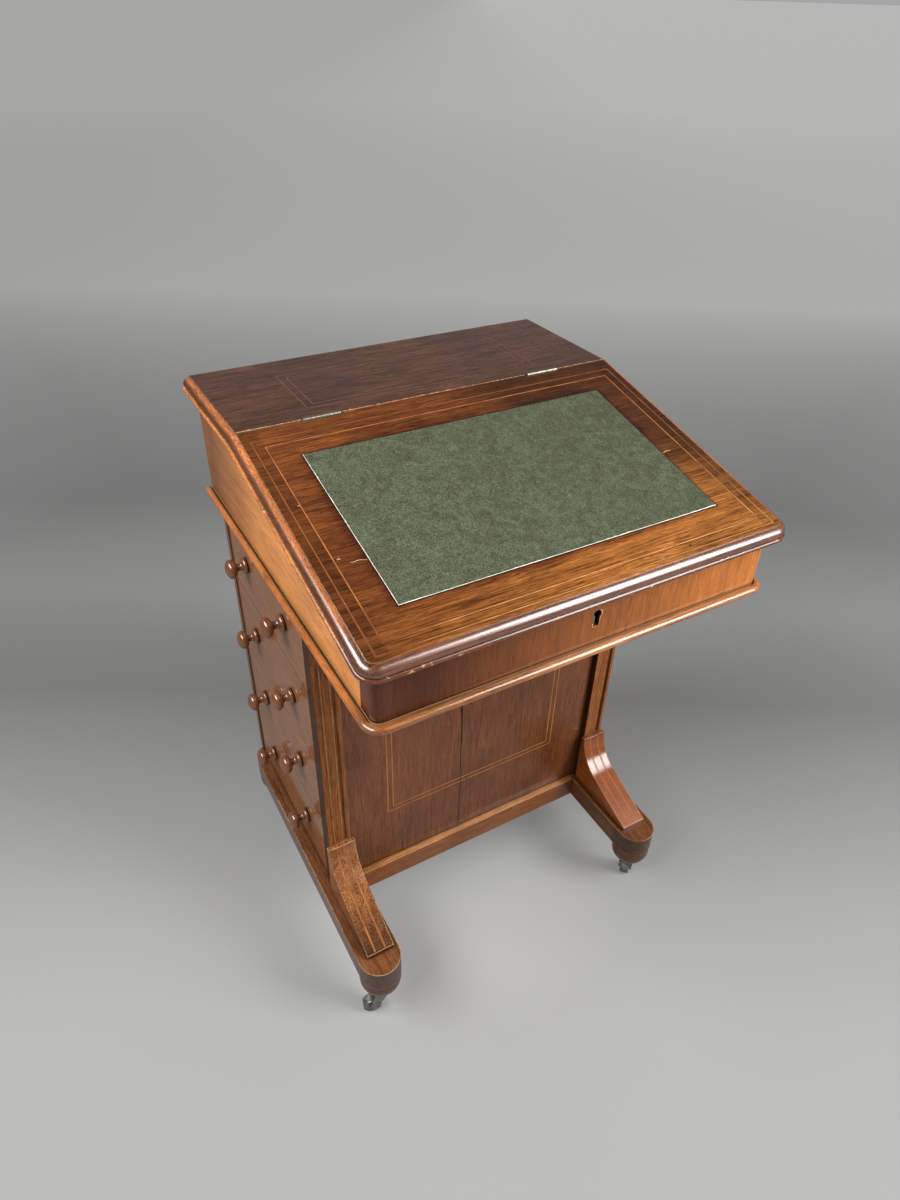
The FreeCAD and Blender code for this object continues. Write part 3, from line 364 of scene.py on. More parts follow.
def polished_wood(name, colour, along, contrast=1.0, wear=0.5, gloss=0.11, coat=0.85, polish=1.5, sun=None,
                  shadow=None, faces=(), end_grain=None, side_edge=None, front_edge=None, side_colour=None,
                  bead=None, rim=None, border=None, inset=None, arris_size=0.0014, grime=0.9):
    """Polished mahogany. Broad figure, fine streaks and dark pores are noises stretched along the grain, and
    they carry the colour from a dark red brown to a pale gold. Beyond side_edge the grain runs along Y. Arrises
    are rubbed pale where the true normal differs from one rounded over arris_size: wear, and a painted highlight
    along the edges. Hollows that see little are darkened as far as the last argument says: old wax and dust, and
    painted shade. A front moulding has the most sheen. What isn't named here is as in wood_colour,
    moulded_edges and the helper that darkens the band round an inset."""
    finish = bpy.context.scene.davenport_finishes
    make = Shader(name)
    wander = make.noise(make.stretched(grain_scale(along, 0.035, 0.22)), detail=2.0)
    shift = make.math("MULTIPLY", make.math("SUBTRACT", wander, 0.5), 0.012)
    place = make.add("ShaderNodeVectorMath", {0: make.place, 1: shift}, operation="ADD").outputs[0]
    true = make.add("ShaderNodeNewGeometry").outputs["Normal"]
    body = wood_colour(make, true, colour, sun, shadow, faces, end_grain)
    edge = None
    if side_edge is not None:
        edges = (side_edge, front_edge, side_colour, bead, rim, border)
        body, beyond, edge, side, nose = moulded_edges(make, body, *edges)

    def grain(across_size, along_size, **settings):
        first = make.stretched(grain_scale(along, across_size, along_size), place)
        if side_edge is not None:
            second = make.stretched(grain_scale(Y, across_size, along_size), place)
            blended = make.add("ShaderNodeMix", {0: beyond, 4: first, 5: second}, data_type="VECTOR")
            first = blended.outputs[1]
        return make.noise(first, **settings)

    figure = grain(0.012, 0.16, detail=4.0, roughness=0.6, distortion=0.8)
    streak = grain(0.0010, 0.045, detail=3.0, roughness=0.6)
    pores = grain(0.0007, 0.012, detail=2.0)
    lines = grain(0.0012, 0.05, detail=2.0, roughness=0.5)
    cloud = make.noise(place, scale=11.0, detail=3.0)
    calm = 1.0 if edge is None else make.between(edge, 0.0, 1.0, 1.0, 0.35)
    swing = make.math("ADD", make.between(figure, 0.36, 0.64, -0.18 * contrast, 0.18 * contrast),
                      make.between(streak, 0.38, 0.62, -0.34 * contrast, 0.34 * contrast))
    dark_grain, pale_grain = (0.46, 0.39, 0.33, 1.0), (1.52, 1.60, 1.66, 1.0)
    hue = make.mix(make.math("ADD", make.product(swing, calm), 0.5), dark_grain, pale_grain)
    shade = make.tinted(body, hue)
    tone = make.product(make.between(pores, 0.53, 0.64, 1.0, 1 - min(0.5 * contrast, 0.7)),
                        make.between(lines, 0.55, 0.63, 1.0, 1 - min(0.36 * contrast, 0.7)),
                        make.between(cloud, 0.36, 0.64, 1 - 0.16 * contrast, 1 + 0.16 * contrast))
    shade = make.scaled(shade, tone)
    if inset is not None:
        shade = gathered_polish(make, shade, cloud, inset)
    rounded = make.add("ShaderNodeBevel", {"Radius": arris_size}, samples=4).outputs[0]
    arris = make.between(make.dot(rounded, true), 0.995, 0.86)
    # Hollows that see little of the room are darkened: old wax and dust, and painted shade.
    open_share = make.add("ShaderNodeAmbientOcclusion", {"Distance": 0.006}, samples=4).outputs["AO"]
    hollow_dirt_and_shade = make.between(open_share, 0.35, 0.85, grime, 0.0)
    patches = make.product(make.between(make.noise(scale=10.0, detail=2.0), 0.42, 0.60, 0.12, 1.0),
                           make.between(make.noise(scale=140.0, detail=3.0), 0.40, 0.58, 0.25, 1.0))
    # Pale arrises: wear, and a painted highlight along the edges.
    wear_and_highlight = make.math("MINIMUM", make.product(arris, patches, wear), 1.0)
    if bead is not None:
        chips = make.between(make.noise(scale=150.0, detail=2.0), 0.64, 0.69)
        wear_and_highlight = make.math("MAXIMUM", wear_and_highlight, make.product(nose, chips, 0.7))
    shade = make.mix(wear_and_highlight, shade, toned(finish.worn_wood))
    make.set(Base_Color=make.mix(hollow_dirt_and_shade, shade, toned(finish.dirt)))
    make.set(Roughness=make.between(streak, 0.3, 0.7, 0.36, 0.50), Specular_IOR_Level=0.06)
    make.set(Coat_Weight=make.math("SUBTRACT", coat, make.product(wear_and_highlight, 0.6 * coat)))
    haze = make.between(cloud, 0.3, 0.7, gloss - 0.03, gloss + 0.04)
    if front_edge is not None:
        strong = make.math("SUBTRACT", edge, make.math("MAXIMUM", make.product(side, 0.85), make.product(nose, 0.7)))
        front_polish = 2.4
        polish = make.between(strong, 0.0, 1.0, polish, front_polish)
        haze = make.math("ADD", haze, make.math("ADD", make.product(strong, 0.15), make.product(side, 0.12)))
    make.set(Coat_IOR=polish, Coat_Roughness=haze)
    make.set(Normal=make.bump(pores, 0.05, 0.0004, Normal=rounded), Coat_Normal=rounded)
    return make.material


def lining_wood(name, colour, along):
    """Unpolished inner wood: soft streaks along the grain, dry and matt."""
    make = Shader(name)
    streak = make.noise(make.stretched(grain_scale(along, 0.006, 0.18)), detail=4.0, roughness=0.6, distortion=0.4)
    fine = make.noise(make.stretched(grain_scale(along, 0.0012, 0.03)), detail=2.0)
    tone = make.product(make.between(streak, 0.3, 0.7, 0.78, 1.16), make.between(fine, 0.3, 0.7, 0.9, 1.08))
    make.set(Base_Color=make.scaled(toned(colour), tone), Roughness=make.between(fine, 0.3, 0.7, 0.6, 0.75))
    make.set(Normal=make.bump(fine, 0.15, 0.0004))
    return make.material


def lost_near(make, body, lost):
    """Colour of a line, which may be rubbed away near a place. lost is the place, the distance up to which nothing
    is left, the one from which all is left, and the colour of the wood round it."""
    if lost is None:
        return body
    place, near, far, wood = lost
    gap = make.add("ShaderNodeVectorMath", {0: make.place, 1: place}, operation="DISTANCE").outputs["Value"]
    return make.mix(make.between(gap, near, far), toned(wood), body)


def line_wood(name, colour, stained=0.5, sun=None, lost=None):
    """Pale, even wood of a line or a bared edge, with darker stained stretches. sun is as in lit_by, lost
    as in lost_near."""
    make = Shader(name)
    stain = make.noise(scale=38.0, detail=4.0, roughness=0.65)
    body = lost_near(make, lit_by(make, colour, sun), lost)
    make.set(Base_Color=make.scaled(body, make.between(stain, 0.32, 0.62, 1 - stained, 1.08)))
    make.set(Roughness=make.between(stain, 0.3, 0.7, 0.34, 0.48), Coat_Weight=0.2, Coat_Roughness=0.14)
    return make.material


def writing_leather(name, colour):
    """Skiver leather: clouds and a fine speckle of lighter and darker green over a pebbled grain."""
    make = Shader(name)
    cloud = make.noise(scale=42.0, detail=4.0, roughness=0.6, distortion=2.0)
    speckle = make.noise(scale=620.0, detail=3.0, roughness=0.7, distortion=0.8)
    flecks = make.noise(scale=800.0, detail=1.0)
    tone = make.product(make.between(cloud, 0.3, 0.7, 0.74, 1.24), make.between(speckle, 0.40, 0.60, 0.42, 1.55))
    tone = make.math("ADD", tone, make.between(flecks, 0.66, 0.76, 0.0, 0.40))
    green = make.mix(make.between(cloud, 0.35, 0.65), toned(colour, 0.95), toned(colour, (0.96, 1.05, 1.04)))
    pebble = make.add("ShaderNodeTexVoronoi", {"Vector": make.place, "Scale": 620.0}).outputs["Distance"]
    make.set(Base_Color=make.scaled(green, tone), Specular_IOR_Level=0.3)
    make.set(Roughness=make.between(speckle, 0.3, 0.7, 0.50, 0.66))
    make.set(Normal=make.bump(pebble, 0.25, 0.0006))
    return make.material


def dull_metal(name, colour, roughness, tarnish):
    """Aged metal: cloudy tarnish that darkens and roughens it, with fine pits."""
    make = Shader(name)
    cloud = make.noise(scale=160.0, detail=5.0, roughness=0.65)
    pits = make.noise(scale=900.0, detail=2.0)
    make.set(Base_Color=make.mix(make.between(cloud, 0.35, 0.65), toned(colour, tarnish), toned(colour)))
    make.set(Roughness=make.between(cloud, 0.3, 0.7, roughness + 0.15, roughness - 0.05), Metallic=0.85)
    make.set(Normal=make.bump(pits, 0.2, 0.0003))
    return make.material


def dirty_crack(name, colour, lost=None):
    """Dirt and shadow in a crack or a glue line. lost is as in lost_near."""
    make = Shader(name)
    dust = make.noise(scale=300.0, detail=3.0)
    body = lost_near(make, toned(colour), lost)
    make.set(Base_Color=make.scaled(body, make.between(dust, 0.3, 0.7, 0.6, 1.6)))
    make.set(Roughness=make.between(dust, 0.3, 0.7, 0.7, 0.9), Specular_IOR_Level=0.2)
    return make.material


def finish_nodes(material, *names):
    """Gives CAD pieces a finish."""
    for name in names:
        nodes[name].data.materials.clear()
        nodes[name].data.materials.append(material)


def polish_nodes(names, finish, colour, along, **look):
    """Gives CAD pieces, named in one string, a polished wood."""
    finish_nodes(polished_wood(finish, colour, along, **look), *names.split())


def closed_piece(name, points, faces, body, material):
    """Piece from points and faces that enclose it, with its faces turned outwards."""
    mesh = bpy.data.meshes.new(name)
    mesh.from_pydata(points.reshape(-1, 3).tolist(), [], faces)
    work = bmesh.new()
    work.from_mesh(mesh)
    bmesh.ops.recalc_face_normals(work, faces=work.faces)
    work.to_mesh(mesh)
    work.free()
    mesh.materials.append(material)
    piece = bpy.data.objects.new(name, mesh)
    bpy.context.scene.collection.objects.link(piece)
    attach(piece, body)


def loft_faces(count, sides, closed=False):
    """Faces that join each row of a grid to the next and close it round itself. The rows close on each other, or
    the first and last get an end face."""
    row = np.arange(count if closed else count - 1)[:, None]
    column = np.arange(sides)[None, :]
    ahead, beside = (row + 1) % count, (column + 1) % sides
    quads = [row * sides + column, row * sides + beside, ahead * sides + beside, ahead * sides + column]
    faces = np.stack(quads, -1).reshape(-1, 4).tolist()
    if not closed:
        faces += [list(range(sides)), list(range((count - 1) * sides, count * sides))]
    return faces


def lofted(name, rows, body, material, closed=False):
    """Piece from a grid of points with one section in each row."""
    closed_piece(name, rows, loft_faces(*rows.shape[:2], closed), body, material)


def line_section(proud, depth):
    """Corners of a line's rectangular section, as steps across it in widths and heights above the surface."""
    return np.array([-0.5, 0.5, 0.5, -0.5]), np.array([-depth, -depth, proud, proud])


def inlaid_frame(middle, right, up, half_width, half_height, width, proud, depth):
    """Rows of a rectangular line with mitred corners: each corner of the section goes round at its own inset."""
    right, up = np.array(right, float), np.array(up, float)
    across, height = line_section(proud, depth)
    turn = np.array([[-1, -1], [1, -1], [1, 1], [-1, 1]])
    span = np.stack([half_width + across * width, half_height + across * width], -1)
    flat = turn[:, None, :] * span[None, :, :]
    lift = height[None, :, None] * np.cross(right, up)
    return np.array(middle) + flat[..., :1] * right + flat[..., 1:] * up + lift


def inlaid_run(path, across_way, normals, width, proud, depth):
    """Rows of an open line: its section is carried along a path, set across it and square to the surface."""
    path = np.array(path, float)
    normals = np.broadcast_to(np.array(normals, float), path.shape)
    across_way = np.broadcast_to(np.array(across_way, float), path.shape)
    across, height = line_section(proud, depth)
    width = np.broadcast_to(np.asarray(width, float), (len(path),))
    sideways = across[None, :, None] * width[:, None, None] * across_way[:, None, :]
    return path[:, None, :] + sideways + height[None, :, None] * normals[:, None, :]


def ragged(count, width, seed, low=0.35):
    """Widths that wander along a rubbed line: a few slow waves and some quick ones, never under a low share."""
    steps = np.linspace(0.0, 1.0, count)
    pick = np.random.default_rng(seed)
    waves = pick.uniform(4, 90, 14)
    turns = pick.uniform(0, 2 * math.pi, 14)
    swing = np.sin(2 * math.pi * waves[:, None] * steps + turns[:, None]).sum(0) / 4
    return width * np.clip(0.7 + 0.55 * swing, low, 1.6)


def line_parts(width, boxwood, dark):
    """Name, width, height above the veneer and finish of a line's glue and of its wood."""
    sizes = bpy.context.scene.davenport_sizes
    return (("_glue_", width + sizes.joint_width, sizes.line_proud / 2, dark),
            ("_line_", width, sizes.line_proud, boxwood))


def framed_lines(name, insets, middle, right, up, half_width, half_height, body, boxwood, dark, width):
    """Rectangular boxwood lines at several insets, each over its dark glue line."""
    depth = bpy.context.scene.davenport_sizes.line_depth
    for label, inset in insets.items():
        for part, across, proud, material in line_parts(width, boxwood, dark):
            rows = inlaid_frame(middle, right, up, half_width - inset, half_height - inset, across, proud, depth)
            lofted(name + part + label, rows, body, material, closed=True)


def paired_lines(name, side, path, normals, gap, boxwood, dark):
    """Two boxwood lines on the desk, each over its dark glue line, on both sides of a path and along it."""
    sizes = bpy.context.scene.davenport_sizes
    for number, step in enumerate((-0.5, 0.5), 1):
        moved = path + np.array([step * gap, 0.0, 0.0])
        for part, across, proud, material in line_parts(sizes.pedestal_line, boxwood, dark):
            rows = inlaid_run(moved, RIGHT, normals, across, proud, sizes.line_depth)
            lofted(name + part + side + "_" + str(number), rows, "desk", material)


def lid_axes(slope):
    """Directions down the writing slope and square to it."""
    return np.array([0.0, -math.cos(slope), -math.sin(slope)]), np.array([0.0, -math.sin(slope), math.cos(slope)])


def hinge_line():
    """Middle of the hinge pins."""
    low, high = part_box("hinge_pins")
    return np.array([0.0, (low[1] + high[1]) / 2, (low[2] + high[2]) / 2])


def hinge_span():
    """Near and far end of the right hinge's pin, from the middle of the desk."""
    places = np.array([vertex.co.x for vertex in nodes["hinge_pins"].data.vertices])
    right = places[places > 0]
    return right.min(), right.max()


class DAVENPORT_OT_lid(bpy.types.Operator):
    """Finish the writing slope: veneer, moulded edge, boxwood lines and leather"""
    bl_idname = "davenport.lid"
    bl_label = "Writing slope"

    def execute(self, context):
        sizes, colours = chosen(context)
        origin = hinge_line()
        down, normal = lid_axes(sizes.lid_slope)
        low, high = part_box("lid_board")
        half = high[0] - sizes.edge_width
        front_edge = low[1] + sizes.edge_reach
        run = (origin[1] - front_edge) / math.cos(sizes.lid_slope)
        # Paler towards the front and right, darker towards the back and left: painted light and painted shade.
        sun = ((0.5, -1.6, 0.0), 0.22, 0.43, colours.lid_shade)
        bead = (tuple(-normal), float(-normal @ origin) + sizes.bead_depth)
        leather_low, leather_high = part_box("lid_leather")
        leather_run = (leather_high[1] - leather_low[1]) / math.cos(sizes.lid_slope)
        leather_middle = down @ (np.array(leather_low) + np.array(leather_high)) / 2
        polish_nodes("lid_board", "lid_veneer", colours.lid_wood, X, contrast=1.2, wear=0.8, sun=sun,
                     shadow=((1.0, 0.9, 0.0), 0.0, 0.12, 0.50),
                     side_edge=half, front_edge=front_edge, side_colour=colours.edge_side, bead=bead,
                     rim=(0.0048, 0.0068, 1.08, 0.30), border=(0.0245, 0.0225, 0.74),
                     inset=(float(leather_middle), leather_high[0], tuple(down), float(leather_run) / 2))
        finish_nodes(writing_leather("green_skiver", colours.leather), "lid_leather")
        back, front = sizes.lid_line_back, run - sizes.lid_line_front
        corner = origin + down * front - np.array([half - sizes.lid_line_side, 0.0, 0.0])
        lost = (tuple(corner), 0.02, 0.075, times(colours.lid_shade, 1.15))
        dark = dirty_crack("lid_glue", times(colours.lid_shade, 0.45), lost)
        for label, inset, share in (("outer", 0.0, 0.60), ("inner", sizes.lid_pair, 1.0)):
            # Lines brighter at the front and duller behind: painted light.
            painted_line_light = ((0.12, -1.0, 0.0), 0.21, 0.25, times(colours.boxwood, share))
            boxwood = line_wood("boxwood_" + label, times(colours.bright_line, math.sqrt(share)), 0.5, painted_line_light, lost)
            framed_lines("lid", {label: inset}, origin + down * (back + front) / 2, RIGHT, -down,
                         half - sizes.lid_line_side, (front - back) / 2, "lid", boxwood, dark, sizes.line_width)
        self.mark(origin, down, normal, colours, dark)
        return {"FINISHED"}

    def mark(self, origin, down, normal, colours, dark):
        """Short cracks and scratches round the leather, and a knot. Each bends a little and tapers to its ends,
        which are given across and down the slope, with its width."""
        bare = line_wood("lid_scratch", colours.worn_wood, 0.2)
        marks = {"crack_1": (-0.2075, 0.1915, -0.2200, 0.1860, 0.0011, dark),
                 "crack_2": (-0.2090, 0.2350, -0.2330, 0.2315, 0.0007, dark),
                 "scratch_1": (-0.2375, 0.2262, -0.2332, 0.2268, 0.0013, bare),
                 "scratch_2": (-0.2270, 0.2345, -0.2078, 0.2368, 0.0008, bare),
                 "scratch_3": (-0.2440, 0.1380, -0.2415, 0.1400, 0.0010, bare),
                 "scratch_4": (0.2083, 0.2012, 0.2225, 0.2004, 0.0011, bare),
                 "knot": (0.1277, 0.3468, 0.1345, 0.3474, 0.0024, dark)}
        share = np.linspace(0.0, 1.0, 14)[:, None]
        across = np.array(RIGHT)
        bend = 0.0007 * np.sin(share * 9)
        for name, (x0, s0, x1, s1, width, material) in marks.items():
            path = origin + across * (x0 + (x1 - x0) * share) + down * (s0 + (s1 - s0) * share + bend)
            taper = width * (0.25 + 0.75 * np.sin(share[:, 0] * math.pi))
            rows = inlaid_run(path, down, normal, taper, proud=0.00008, depth=0.0004)
            lofted("lid_" + name, rows, "lid", material)


class DAVENPORT_OT_leather_edge(bpy.types.Operator):
    """Add the pale cut edge along the leather's left and front sides, and the dark joint round it"""
    bl_idname = "davenport.leather_edge"
    bl_label = "Leather edge"

    def execute(self, context):
        sizes, colours = chosen(context)
        down, normal = lid_axes(sizes.lid_slope)
        origin = hinge_line()
        low, high = (np.array(corner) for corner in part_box("lid_leather"))
        rear = np.array([0.0, high[1], high[2]])
        lift = (rear - origin) @ normal
        run = (high[1] - low[1] - lift * math.sin(sizes.lid_slope)) / math.cos(sizes.lid_slope)
        front = rear + down * run
        half = high[0]
        dark = dirty_crack("leather_joint", colours.dirt)
        joint = 0.0014
        rows = inlaid_frame((rear + front) / 2 - normal * lift, RIGHT, -down, half + joint / 2,
                            run / 2 + joint / 2, joint, proud=0.00008, depth=0.0004)
        lofted("leather_joint", rows, "lid", dark, closed=True)
        pale = line_wood("leather_cut_edge", colours.leather_edge, 0.25)
        count = 90
        steps = np.linspace(0.0, 1.0, count)[:, None]
        side = np.array([half, 0.0, 0.0])
        runs = {"left": (rear - side, front - side, RIGHT), "front": (front - side, front + side, -down)}
        for seed, (name, (start, end, inwards)) in enumerate(runs.items()):
            width = ragged(count, 0.0007, seed, low=0.7) * np.linspace(1.0, 1.0 + 0.7 * seed, count)
            path = start + (end - start) * steps + np.array(inwards, float) * width[:, None] / 2
            rows = inlaid_run(path, inwards, normal, width, proud=0.0001, depth=0.0005)
            lofted("leather_edge_" + name, rows, "lid", pale)
        return {"FINISHED"}


class DAVENPORT_OT_flat_top(bpy.types.Operator):
    """Finish the flat top: faded veneer, moulded edge, boxwood lines and the bare arris at the joint, pale with wear
    and a painted highlight
    """
    bl_idname = "davenport.flat_top"
    bl_label = "Flat top"

    def execute(self, context):
        sizes, colours = chosen(context)
        low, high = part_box("flat_top")
        joint_y, top_z = hinge_line()[1:]
        half = high[0] - sizes.edge_width
        polish_nodes("flat_top", "flat_top_veneer", colours.top_wood, X, contrast=1.3, wear=0.6, side_edge=half,
                     side_colour=colours.edge_side, rim=(0.0050, 0.0075, 1.0, 0.30),
                     bead=(DOWN, sizes.bead_depth - top_z))
        boxwood = line_wood("faded_boxwood", colours.faded_line)
        dark = dirty_crack("flat_top_glue", times(colours.top_wood, 0.6))
        front, back = joint_y + sizes.top_line_front, high[1] - sizes.top_line_back
        framed_lines("flat_top", {"outer": 0.0, "inner": sizes.top_pair}, (0.0, (front + back) / 2, top_z), RIGHT,
                     REAR, sizes.top_line_half, (back - front) / 2, "desk", boxwood, dark, sizes.line_width)
        # The pale strip along the joint, pink in its middle stretch, is partly bare wood and partly a painted
        # highlight on the arris.
        pale = line_wood("bared_arris_and_highlight", colours.worn_wood, 0.25)
        pink = line_wood("bared_arris_and_highlight_middle", times(colours.worn_wood, (0.95, 0.62, 0.55)), 0.35)
        count = 260
        across = np.linspace(-half + 0.001, half - 0.001, count)
        width = ragged(count, 0.0014, 7, low=0.4) * np.interp(across, [-0.14, -0.12, 0.15], [1.0, 1.9, 0.9])
        path = np.stack([across, low[1] + width / 2, np.full(count, top_z)], -1)
        clear = self.clear_of_hinges(across)
        for number, (stretch, bare) in enumerate(zip(clear, (pale, pink, pale)), 1):
            rows = inlaid_run(path[stretch], REAR, UP, width[stretch], proud=0.00006, depth=0.0005)
            lofted("flat_top_bare_arris_" + str(number), rows, "desk", bare)
        return {"FINISHED"}

    def clear_of_hinges(self, across):
        """Stretches of the joint between the hinge barrels, as slices of the row of places."""
        near, far = hinge_span()
        gap = 0.001
        cuts = np.searchsorted(across, [-far - gap, gap - near, near - gap, far + gap])
        return [slice(0, cuts[0]), slice(cuts[1], cuts[2]), slice(cuts[3], len(across))]


class DAVENPORT_OT_box(bpy.types.Operator):
    """Finish the writing box: light sides, dark front, base moulding, keyhole and lining"""
    bl_idname = "davenport.box"
    bl_label = "Writing box"

    def execute(self, context):
        sizes, colours = chosen(context)
        # The sides darken towards the rear: painted shade.
        polish_nodes("box_left_side box_right_side", "box_side_veneer", colours.side_wood, Y, contrast=0.5,
                     wear=0.3, coat=0.3, sun=(FRONT, -0.24, -0.02, colours.side_shade))
        # The front and its corner posts darken from right to left: painted light at the right end, painted shade at
        # the left.
        sun = (RIGHT, -0.20, 0.24, colours.rail_shade)
        polish_nodes("box_front_rail", "box_front_veneer", colours.rail_wood, Z, contrast=0.5, wear=0.0, coat=0.65,
                     sun=sun)
        polish_nodes("box_corner_posts", "box_post_veneer", colours.rail_wood, Z, contrast=0.6, wear=0.0, sun=sun)
        # The base moulding darkens towards its left end: painted shade.
        polish_nodes("box_base_moulding", "base_moulding_wood", colours.base_wood, X, contrast=0.9, wear=0.5,
                     gloss=0.16, polish=1.85, sun=(RIGHT, -0.26, 0.0, times(colours.base_wood, 0.42)),
                     side_edge=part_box("box_right_side")[1][0], side_colour=times(colours.bead_wood, 0.75),
                     rim=(0.0030, 0.0050, 0.15, 1.0))
        finish_nodes(lining_wood("well_lining", colours.inner_wood, X), "box_floor")
        polish_nodes("box_back", "box_back_veneer", colours.panel_wood, X, contrast=0.6, wear=0.2,
                     faces=((FRONT, colours.inner_wood),))
        self.bare_keyhole(sizes, colours)
        return {"FINISHED"}

    def bare_keyhole(self, sizes, colours):
        """Bare lip round the keyhole: down the right of its eye and slot, along its foot and up its left."""
        low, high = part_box("box_front_rail")
        face_y = low[1]
        eye_z = high[2] - (high[1] - face_y) * math.tan(sizes.lid_slope) - sizes.keyhole_drop
        radius, half, foot = sizes.keyhole_radius, sizes.keyhole_half, sizes.keyhole_slot
        neck = -math.acos(half / radius)
        turn = np.linspace(1.0, neck, 16)
        right = np.stack([radius * np.cos(turn), radius * np.sin(turn)], -1)
        slot = np.array([[half, -foot * 0.75], [half, -foot], [half * 0.3, -foot], [-half * 0.5, -foot],
                         [-half, -foot], [-half, -foot * 0.7]])
        outline = np.concatenate([right, slot])
        count = len(outline)
        path = np.stack([sizes.keyhole_side + outline[:, 0], np.full(count, face_y), eye_z + outline[:, 1]], -1)
        along = np.gradient(outline, axis=0)
        along /= np.linalg.norm(along, axis=1)[:, None]
        outwards = np.stack([-along[:, 1], np.zeros(count), along[:, 0]], -1)
        width = ragged(count, 0.0013, 3)
        path = path + outwards * width[:, None] * 0.5
        rows = inlaid_run(path, outwards, FRONT, width, proud=0.00008, depth=0.0010)
        lofted("keyhole_lip", rows, "desk", line_wood("bare_lip", colours.worn_wood, 0.2))


class DAVENPORT_OT_metalwork(bpy.types.Operator):
    """Finish the hinges, the lock and the castors, and add the hinges' screws"""
    bl_idname = "davenport.metalwork"
    bl_label = "Hinges, lock and castors"

    def execute(self, context):
        sizes, colours = chosen(context)
        brass = dull_metal("hinge_brass_aged", colours.brass, 0.34, 0.55)
        finish_nodes(brass, "hinge_leaves_top", "hinge_leaves_lid", "hinge_pins")
        finish_nodes(dull_metal("lock_steel_dull", colours.steel, 0.38, 0.5), "lock_case", "lock_bolt", "lock_staple")
        iron = dull_metal("castor_iron_worn", colours.iron, 0.34, 0.35)
        finish_nodes(iron, "castor_plates")
        for place in ("front_left", "front_right", "rear_left", "rear_right"):
            finish_nodes(iron, "castor_fork_" + place, "castor_wheel_" + place)
        self.drive_screws("hinge_screws_top", "hinge_leaves_top", "desk", 1.0, sizes, brass)
        self.drive_screws("hinge_screws_lid", "hinge_leaves_lid", "lid", -1.0, sizes, brass)
        return {"FINISHED"}

    def drive_screws(self, name, leaves, body, side, sizes, material):
        """Three slotted heads on each leaf. A head is a polar grid whose height falls off at the rim and drops
        across the slot; its last ring is sunk in the leaf and closes it behind."""
        rings, corners = 11, 64
        slot_half, slot_deep, crown, sunk = 0.16, 0.00035, 0.00008, 0.0006
        half_joint, row_height = 0.0004, 0.0055
        near, far = hinge_span()
        middle, reach = (near + far) / 2, (far - near) / 2
        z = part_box(leaves)[0][2] + row_height
        face_y = hinge_line()[1] + side * half_joint
        share = np.concatenate([np.linspace(0.06, 0.96, rings - 2), [1.0, 1.0]])[:, None]
        turn = np.linspace(0, 2 * math.pi, corners, endpoint=False)[None, :]
        x, height = share * np.cos(turn), share * np.sin(turn)
        rise = np.where(np.abs(height) < slot_half, -slot_deep, crown * (1 - share ** 6))
        rise = np.where(share >= 1.0, 0.0, rise)
        rise[-1] = -sunk
        head = np.stack([x * sizes.screw_radius, -side * rise, height * sizes.screw_radius], -1)
        heads = np.array([head + np.array([hinge_x + step * reach, face_y, z])
                          for hinge_x in (-middle, middle) for step in (-0.7, 0.0, 0.7)])
        faces = [[corner + number * rings * corners for corner in face]
                 for number in range(len(heads)) for face in loft_faces(rings, corners)]
        closed_piece(name, heads, faces, body, material)


